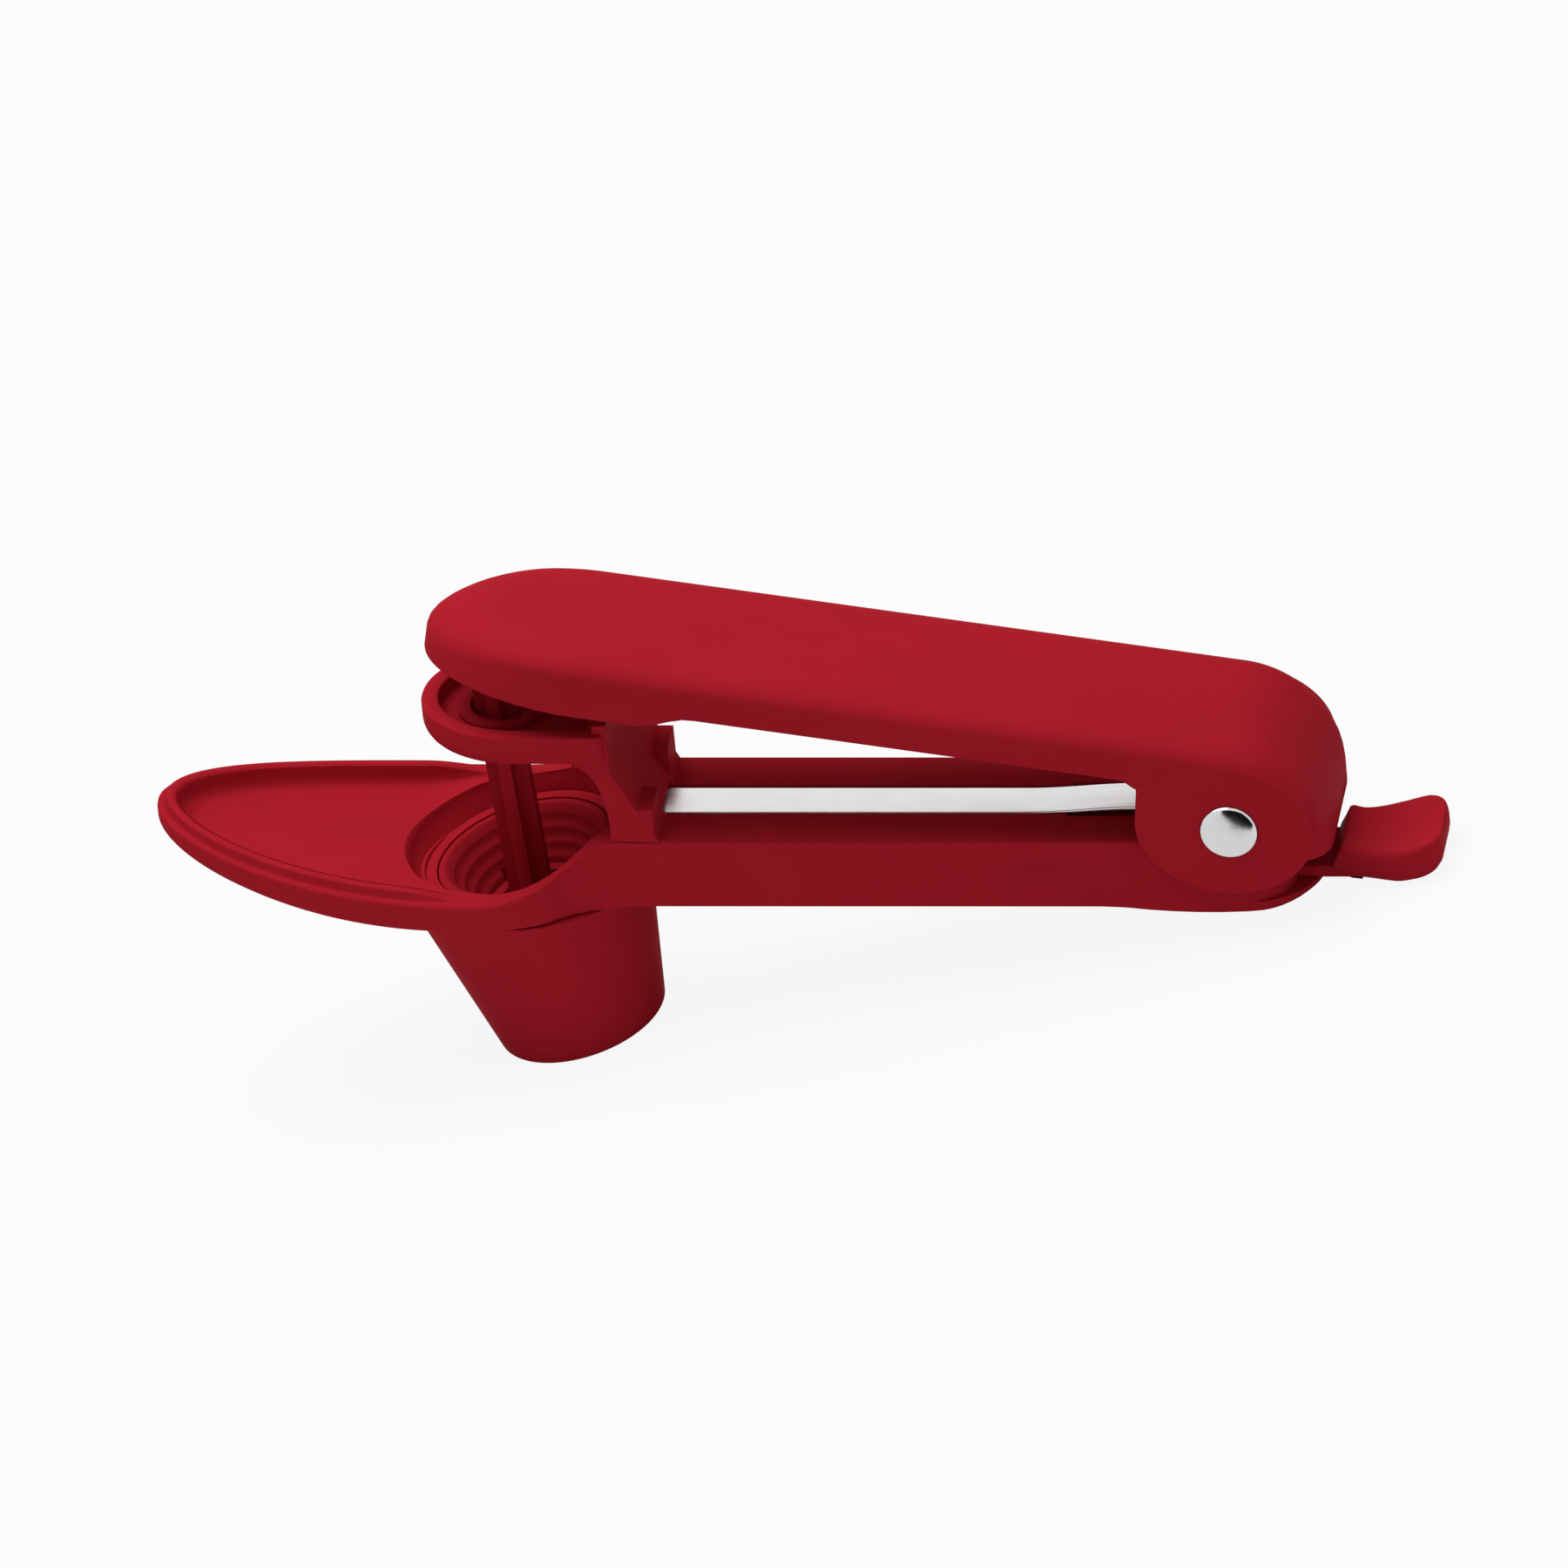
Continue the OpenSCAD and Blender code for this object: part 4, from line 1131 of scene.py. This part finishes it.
@dataclass
class Stripper:
    """Bracket over the cup with its guide bush, and the finned plunger that passes through it."""

    guide_x: float = 0.58
    guide_r: float = 4.9
    guide_wall: float = 1.3
    guide_drop: float = 1.8
    plate_z: float = 13.1
    plate_t: float = 3.1
    plate_rear: float = 17.2
    plate_half: float = 13
    plate_nose: float = 15
    nose_x: float = 3.4
    plate_round: float = 3
    rim_top: float = 18.9
    rim_w: float = 2.6
    web_x: float = 17.7
    web_top: float = 20.4
    foot_front: float = 16.8
    foot_rear: float = 24
    leg_out: float = 12
    leg_t: float = 2.2
    edge: float = 0.4

    def outline(self, d: float) -> list[Flat]:
        """Draw the plate's plan, straight across its rear, drawn in by d.

        Args:
            d: Distance to draw it in.

        Returns:
            A closed outline, starting at the middle of the rear edge.
        """
        rear, wide, r = self.plate_rear - d, self.plate_half - d, max(0.3, 1.2 - d)
        half: list[Flat] = [(rear, wide * k) for k in (0, 0.3, 0.6, 0.85)]
        half += arc((rear - r, wide - r), r, r, 0, 90, 6)
        half += [(x, wide) for x in between(rear - r - 1, self.nose_x + 1, 9)]
        half += arc((self.nose_x, 0), self.plate_nose - d, wide, 90, 180, 30)
        half[-1] = (half[-1][0], 0)
        return mirrored(half)

    def plate(self) -> bpy.types.Object:
        """Loft the dished plate: bowl-shaped below, with a rounded rim.

        Returns:
            A closed solid without its hole.
        """
        rings: list[list[Vector]] = []

        def ring(d: float, z: float, spread: float = 1) -> None:
            """Add a ring drawn in by d at one level, with its width shared by spread."""
            rings.append([ARM.place(x, y * spread, z) for x, y in self.outline(d)])

        r, low, top, floor = self.plate_round, self.plate_z, self.rim_top, self.plate_z + self.plate_t
        for spread in (0, 0.5):
            ring(r, low, spread)
        for t in between(0, 90, 9):
            a = math.radians(t)
            ring(r * (1 - math.sin(a)), low + r * (1 - math.cos(a)))
        for d, drop in ((0, 0.5), (0.15, 0.15), (0.5, 0), (2.1, 0), (2.45, 0.15), (self.rim_w, 0.5)):
            ring(d, top - drop)
        for d, lift in ((0, 1.0), (0.3, 0.3), (1.0, 0)):
            ring(self.rim_w + d, floor + lift)
        for spread in (0.5, 0):
            ring(self.rim_w + 1, floor, spread)
        return skin("stripper_plate", rings)

    def prism(self, side: Sequence[Flat], low: float, high: float) -> bpy.types.Object:
        """Push a side view across the arm and round its edges.

        Args:
            side: Closed outline along and above the arm, counter-clockwise.
            low: Where it starts across the arm.
            high: Where it ends.

        Returns:
            A closed solid.
        """
        e = self.edge
        bit = e * 0.3
        cuts = ((low, e), (low + bit, bit), (low + e, 0), (high - e, 0), (high - bit, bit), (high, e))
        return skin("prism", [[ARM.place(x, y, z) for x, z in inset(side, d)] for y, d in cuts], caps=True)

    def leg_side(self) -> list[Flat]:
        """Draw a leg from the side: it leaves the plate in a curve and stands upright on the arm.

        Returns:
            A closed outline.
        """
        start, bend = self.plate_rear - 5.2, self.plate_z - 0.9
        side: list[Flat] = []
        for t in between(0, 90, 16):
            a = math.radians(t)
            fall = (self.plate_z - 2) * (1 - math.cos(a))
            side.append((start + (self.foot_front - start) * math.sin(a), self.plate_z - fall))
        side += [(self.foot_front, 0), (self.foot_rear - 0.03, 0), (self.web_x - 0.03, bend)]
        return side + [(self.web_x - 0.03, self.plate_z + 2), (start + 1, self.plate_z + 2)]

    def bracket(self) -> bpy.types.Object:
        """Join the plate, the legs, the web and the feet, and cut the guide hole and the leaf's slot.

        Returns:
            A closed solid.
        """
        piece, out, leg = self.plate(), self.leg_out, self.leg_t
        bend = self.plate_z - 0.9
        web = [(self.foot_rear - leg, 0), (self.foot_rear, 0), (self.web_x, bend), (self.web_x, self.web_top)]
        web += [(self.web_x - leg, self.web_top), (self.web_x - leg, bend)]
        combine(piece, self.prism(web, 0.03 - out, out - 0.03), Cut.ADD)
        for low, high in ((-out, leg - out), (out - leg, out)):
            combine(piece, self.prism(self.leg_side(), low, high), Cut.ADD)
        for low, high in ((5.2, 11.8), (-11.8, -5.2)):
            front, rear = (self.foot_front + 0.05, low, 0.02), (self.foot_rear - 0.6, high, 5.5)
            combine(piece, block("foot", front, rear, ARM.place), Cut.ADD)
        hole = self.guide_r + self.guide_wall
        profile = [(0, 5), (hole, 5), (hole, 40), (0, 40)]
        guide = lathe("guide", profile, lambda x, y, h: ARM.place(self.guide_x + x, y, h), 96)
        combine(piece, guide, Cut.TAKE_AWAY)
        combine(piece, block("slot", (10, -4, -1), (32, 4, 0.9), ARM.place), Cut.TAKE_AWAY)
        return piece

    def bush(self) -> bpy.types.Object:
        """Turn the flanged collar in the plate.

        Returns:
            A closed ring.
        """
        r, wall, z, low = self.guide_r, self.guide_r + self.guide_wall, self.plate_t, -self.guide_drop
        profile = [(r + 0.3, low), (wall - 0.3, low), (wall, low + 0.3), (wall, z), (wall + 0.6, z)]
        profile.append((wall + 0.7, z + 0.2))
        profile += [(wall + 0.65, z + 0.75), (wall + 0.4, z + 1.02), (wall, z + 1.1), (r + 0.5, z + 1.1)]
        profile += [(r + 0.12, z + 0.95), (r, z + 0.6), (r, low + 0.3)]
        place: Place = lambda x, y, h: ARM.place(self.guide_x + x, y, self.plate_z + h)
        return lathe("guide_collar", profile, place, 72)

    def build(self, finishes: Finishes) -> None:
        """Make and dress the bracket, the bush and the plunger.

        Args:
            finishes: The tool's finishes.
        """
        bracket, plunger, bush = self.bracket(), copy_of("plunger", "finned_plunger"), self.bush()
        soften_edges(plunger, 0.3)
        for piece in (bracket, plunger, bush):
            shade(piece)
        settle(bracket, Body.BASE, "red_moulding", finishes.moulding, "stripper_bracket")
        settle(plunger, Body.LEVER, "red_moulding", finishes.moulding, "plunger")
        settle(bush, Body.BASE, "red_seat", finishes.seat, "guide_bush")


@dataclass
class Leaf:
    """Flat steel strip along the arm, bowed up to the lever's rib."""

    start: float = 15.5
    end: float = 98.5
    width: float = 6.9
    thick: float = 0.8
    rise: float = 0.9
    low: float = -0.9
    clip: float = 2.83

    def build(self, finishes: Finishes) -> None:
        """Loft and dress the strip.

        Args:
            finishes: The tool's finishes.
        """
        stations = [*between(self.start, self.end - 22, 16), *between(self.end - 20, self.end - 3, 24)]
        stations += between(self.end - self.clip, self.end, 8)
        rings = []
        for x in stations:
            w = self.width / 2 - max(0.0, x - self.end + self.clip)
            z = self.low + self.rise * step(self.end - 21, self.end - 4, x)
            t, r = self.thick, 0.22
            section = [(w - r, 0), (w - 0.07, 0.07), (w, r), (w, t - r), (w - 0.07, t - 0.07), (w - r, t)]
            section += [(-y, h) for y, h in reversed(section)]
            rings.append([ARM.place(x, y, z + h) for y, h in section])
        piece = skin("leaf_strip", rings, caps=True)
        shade(piece, 30)
        settle(piece, Body.SPRING, "spring_steel", finishes.leaf, "leaf_spring")


@dataclass
class Pin:
    """Polished pivot pin with a low domed head, and the cap on its far end."""

    radius: float = 2.5
    head_r: float = 4.4
    face: float = 14.5
    height: float = 0.8

    def dome(self) -> list[Flat]:
        """Draw the head's profile, from its middle to its rim."""
        steps = ((0, 1), (2.2, 0.985), (3.2, 0.93), (3.7, 0.84), (4.05, 0.66), (4.28, 0.38))
        return [(r, self.height * share) for r, share in steps] + [(self.head_r, 0)]

    def build(self, finishes: Finishes) -> None:
        """Turn and dress the pin and its cap.

        Args:
            finishes: The tool's finishes.
        """
        x0, z0, far = ARM.pivot_x, ARM.pivot_z, -2 * self.face
        near: Place = lambda x, y, h: ARM.place(x0 + x, -self.face - h, z0 + y)
        away: Place = lambda x, y, h: ARM.place(x0 + x, self.face + h, z0 - y)
        stem = [(self.radius, 0), (self.radius, far), (0, far)]
        pin = lathe("pivot_pin_turned", [*self.dome(), *stem], near, 72)
        cap = lathe("pin_cap_turned", [*self.dome(), (0, 0)], away, 72)
        for piece, node in ((pin, "pivot_pin"), (cap, "pin_cap")):
            shade(piece, 30)
            settle(piece, Body.BASE, "pin_steel", finishes.pin, node)


@dataclass
class Lock:
    """Slide lock: dished thumb tab on a tongue that runs in the arm's heel."""

    front: float = 124.54
    rake: float = 1.6
    end: float = 139.8
    neck_half: float = 6
    tab_half: float = 7.8
    corner: float = 4
    top: float = -4.3
    lip: float = -2.7
    dish_x: float = 130.4
    dish_r: float = 21
    dish_low: float = -5.9
    tongue_low: float = -10.2
    tongue_top: float = -8.2
    tongue_half: float = 5.5
    tongue_in: float = 108.4

    def outline(self) -> list[Flat]:
        """Draw the tab's plan.

        Returns:
            A closed outline, starting at the middle of its end.
        """
        half: list[Flat] = [(self.end, 0), (self.end, 1.3), (self.end, 2.6)]
        r, more = self.corner, self.tab_half - self.neck_half
        half += arc((self.end - r, self.tab_half - r), r, r, 0, 90, 9)
        for x in between(self.end - r - 1, self.front + 0.8, 14):
            half.append((x, self.neck_half + more * step(self.front, self.end - 4.5, x)))
        half += [(self.front + 0.2, self.neck_half - 0.2), (self.front, self.neck_half - 0.8)]
        half += [(self.front, 3.5), (self.front, 1.7), (self.front, 0)]
        return mirrored(half)

    def upper(self, x: float, y: float) -> float:
        """Find the height of the tab's dished top.

        Args:
            x: Place along the arm.
            y: Place across the arm.

        Returns:
            The height over the arm's top face.
        """
        front, top = self.front, self.top
        line = [(front, top - 0.8), (front + 0.35, top - 0.15), (front + 0.8, top), (front + 4, top - 0.2)]
        line += [(self.end - 6.5, self.top + 0.2), (self.end - 3, self.lip - 0.3), (self.end - 1.6, self.lip)]
        line += [(self.end - 0.5, self.lip - 0.5), (self.end, self.lip - 1.4)]
        dish = self.dish_low + self.dish_r - math.sqrt(self.dish_r**2 - (x - self.dish_x) ** 2 - y * y)
        return soft_min(along(line, x), dish, 0.7)

    def soft(self, x: float) -> float:
        """Share of the top edge's rounding, which is small at the neck's front."""
        return 1 - 0.75 * step(self.front + 3, self.front + 0.6, x)

    def under(self, x: float) -> float:
        """Height of the tab's underside, flat on the table near its end."""
        return max(self.tongue_low - 0.6 * step(self.front, self.front + 2, x), ARM.table_level(x) + 0.02)

    def side(self, x: float, y: float, share: float) -> float:
        """Height on the tab's upright side, at a share of the way down."""
        start, end = self.upper(x, y) - 1.15 * self.soft(x), self.under(x) + 2.6
        return start * (1 - share) + end * share

    def rake_at(self, x: float, z: float) -> float:
        """How far the neck's front leans forward at a level."""
        share = (self.top - 1 - z) / (self.top - 1 - self.tongue_top)
        return self.rake * min(1.0, max(0.0, share)) * step(self.front + 2.4, self.front, x)

    def tab(self) -> bpy.types.Object:
        """Loft the tab from the middle of its top to the middle of its underside.

        Returns:
            A closed solid.
        """
        plan, rings = self.outline(), []

        def ring(d: float, level: Callable[[float, float], float], spread: float = 1) -> None:
            """Add a ring drawn in by d at a level read over the plan."""
            points = [(x, y * spread, level(x, y * spread)) for x, y in inset(plan, d)]
            rings.append([ARM.place(x - self.rake_at(x, z), y, z) for x, y, z in points])

        for spread in (0, 0.3, 0.6, 0.85):
            ring(1.4, self.upper, spread)
        for d, drop in ((1.4, 0), (0.9, 0.06), (0.45, 0.26), (0.15, 0.62), (0, 1.15)):
            ring(d, lambda x, y, k=drop: self.upper(x, y) - k * self.soft(x))
        for k in (0.35, 0.7):
            ring(0, lambda x, y, k=k: self.side(x, y, k))
        for d, lift in ((0, 2.6), (0.2, 1.6), (0.8, 0.75), (1.8, 0.2), (3.0, 0)):
            ring(d, lambda x, y, k=lift: self.under(x) + k)
        for spread in (0.5, 0):
            ring(3.0, lambda x, y: self.under(x), spread)
        return skin("lock_tab", rings)

    def build(self, finishes: Finishes) -> None:
        """Make and dress the tab and its tongue.

        Args:
            finishes: The tool's finishes.
        """
        tab = self.tab()
        half = self.tongue_half
        low, high = (self.tongue_in, -half, self.tongue_low), (self.front + 2, half, self.tongue_top)
        tongue = block("lock_tongue", low, high, ARM.place)
        soften_edges(tongue, 0.3)
        for piece in (tab, tongue):
            shade(piece)
        settle(tab, Body.LOCK, "red_moulding", finishes.moulding, "lock_slider")
        settle(tongue, Body.LOCK, "red_moulding", finishes.moulding)


@dataclass
class Hardware:
    """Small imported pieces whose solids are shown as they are."""

    steel: tuple[str, ...] = ("bracket_screws", "spring_screw", "plunger_pin", "lock_stop_pin")
    nylon: tuple[str, ...] = ("pivot_washers",)

    def build(self, finishes: Finishes) -> None:
        """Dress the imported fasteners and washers.

        Args:
            finishes: The tool's finishes.
        """
        for names, finish in ((self.steel, finishes.screws), (self.nylon, finishes.nylon)):
            for name in names:
                dress(frame["nodes"][name], finish)
                LOG.info("%s: packed solid with a new finish", name)


@dataclass
class Studio:
    """Pale floor, soft light and the camera."""

    lens: float = 1000
    distance: float = 6450
    aim: Point = (41.22, 0, 2.755)
    right: Point = (0.9877, 0.1320, -0.0840)
    up: Point = (0, 0.5373, 0.8434)
    key_power: float = 2.8
    sky: float = 0.36
    key_place: Point = (-40, 30, 630)
    key_aim: Point = (45, 0, 30)
    key_size: float = 500
    floor_half: float = 3000
    floor_glow: float = 0.9

    def panel(self, name: str, corners: Sequence[Point]) -> bpy.types.Object:
        """Make a flat panel.

        Args:
            name: Name of the new object.
            corners: Its four corners in order, in millimetres.

        Returns:
            The new object.
        """
        mesh = bpy.data.meshes.new(name)
        mesh.from_pydata([standing(*p) for p in corners], [], [(0, 1, 2, 3)])
        return new_object(name, mesh)

    def floor(self) -> None:
        """Lay a pale floor that shows white to the camera and keeps a faint shadow."""
        far = self.floor_half
        floor = self.panel("studio_floor", [(-far, -far, 0), (far, -far, 0), (far, far, 0), (-far, far, 0)])
        sheet = Sheet(bpy.data.materials.new("pale_floor"))
        paper = sheet.add("ShaderNodeBsdfDiffuse", Color=(0.8, 0.8, 0.8, 1))
        glow = sheet.add("ShaderNodeEmission", Color=(1, 1, 1, 1), Strength=1.0)
        seen = self.seen(sheet)
        share = sheet.add("ShaderNodeMath", operation="MULTIPLY")
        share.inputs[1].default_value = self.floor_glow
        mix = sheet.add("ShaderNodeMixShader")
        sheet.link(seen, share.inputs[0])
        sheet.link(share.outputs[0], mix.inputs[0])
        sheet.link(paper.outputs[0], mix.inputs[1])
        sheet.link(glow.outputs[0], mix.inputs[2])
        floor.data.materials.append(sheet.surface(mix))

    def seen(self, sheet: Sheet) -> bpy.types.NodeSocket:
        """Add a switch that is on for rays that show the background.

        Args:
            sheet: Tree that gets the switch.

        Returns:
            A socket that is 1 for camera, glossy and transmission rays.
        """
        path = sheet.add("ShaderNodeLightPath")
        first = sheet.add("ShaderNodeMath", operation="MAXIMUM")
        both = sheet.add("ShaderNodeMath", operation="MAXIMUM")
        sheet.link(path.outputs["Is Camera Ray"], first.inputs[0])
        sheet.link(path.outputs["Is Glossy Ray"], first.inputs[1])
        sheet.link(first.outputs[0], both.inputs[0])
        sheet.link(path.outputs["Is Transmission Ray"], both.inputs[1])
        return both.outputs[0]

    def world(self) -> None:
        """Fill the room with even light, and show white behind it."""
        world = bpy.data.worlds.new("studio_world")
        bpy.context.scene.world = world
        sheet = Sheet(world)
        fill = sheet.add("ShaderNodeBackground", Color=(1, 1, 1, 1), Strength=self.sky)
        white = sheet.add("ShaderNodeBackground", Color=(1, 1, 1, 1), Strength=1.0)
        mix = sheet.add("ShaderNodeMixShader")
        sheet.link(self.seen(sheet), mix.inputs[0])
        sheet.link(fill.outputs[0], mix.inputs[1])
        sheet.link(white.outputs[0], mix.inputs[2])
        out = sheet.add("ShaderNodeOutputWorld")
        sheet.link(mix.outputs[0], out.inputs["Surface"])

    def lamp(self, name: str, place: Point, aim: Point, size: float, power: float) -> None:
        """Hang a square soft box.

        Args:
            name: Name of the lamp.
            place: Where it hangs, in millimetres.
            aim: What it faces.
            size: Length of its side.
            power: Its power in watts.
        """
        light = bpy.data.lights.new(name, "AREA")
        light.shape, light.size, light.energy = "SQUARE", size * MM, power
        lamp = bpy.data.objects.new(name, light)
        bpy.context.scene.collection.objects.link(lamp)
        lamp.location = standing(*place)
        lamp.rotation_euler = (standing(*aim) - standing(*place)).to_track_quat("-Z", "Y").to_euler()

    def card(self) -> None:
        """Stand a dark card in front of the pin, for its polished head to show."""
        corners = [(100, -50, 0.5), (165, -50, 0.5), (165, -50, 60), (100, -50, 60)]
        card = self.panel("studio_card", corners)
        sheet = Sheet(bpy.data.materials.new("dark_card"))
        dark = sheet.add("ShaderNodeBsdfDiffuse", Color=(0.02, 0.02, 0.02, 1))
        card.data.materials.append(sheet.surface(dark))
        card.visible_camera, card.visible_shadow, card.visible_diffuse = False, False, False

    def camera(self) -> None:
        """Set the camera at the photograph's angle."""
        data = bpy.data.cameras.new("studio_camera")
        data.lens, data.sensor_width, data.clip_end = self.lens, 36, 20
        camera = bpy.data.objects.new("studio_camera", data)
        bpy.context.scene.collection.objects.link(camera)
        right, up = ARM.direction(*self.right), ARM.direction(*self.up)
        back = right.cross(up).normalized()
        turn = Matrix((right, up, back)).transposed().to_4x4()
        turn.translation = ARM.place(*self.aim) + back * self.distance * MM
        camera.matrix_world = turn
        bpy.context.scene.camera = camera

    def build(self) -> None:
        """Build the room, the lamps and the camera."""
        bpy.context.scene.view_settings.view_transform = "Standard"
        self.floor()
        self.world()
        self.card()
        self.lamp("key_box", self.key_place, self.key_aim, self.key_size, self.key_power)
        self.camera()


def main() -> None:
    """Build the tool's pieces and the studio."""
    logging.basicConfig(level=logging.INFO, format="%(name)s: %(message)s")
    finishes = Finishes()
    Studio().build()
    for part in (Base(), Cup(), Stripper(), Leaf(), Lever(), Pin(), Lock(), Hardware()):
        part.build(finishes)


if __name__ == "__main__":
    main()
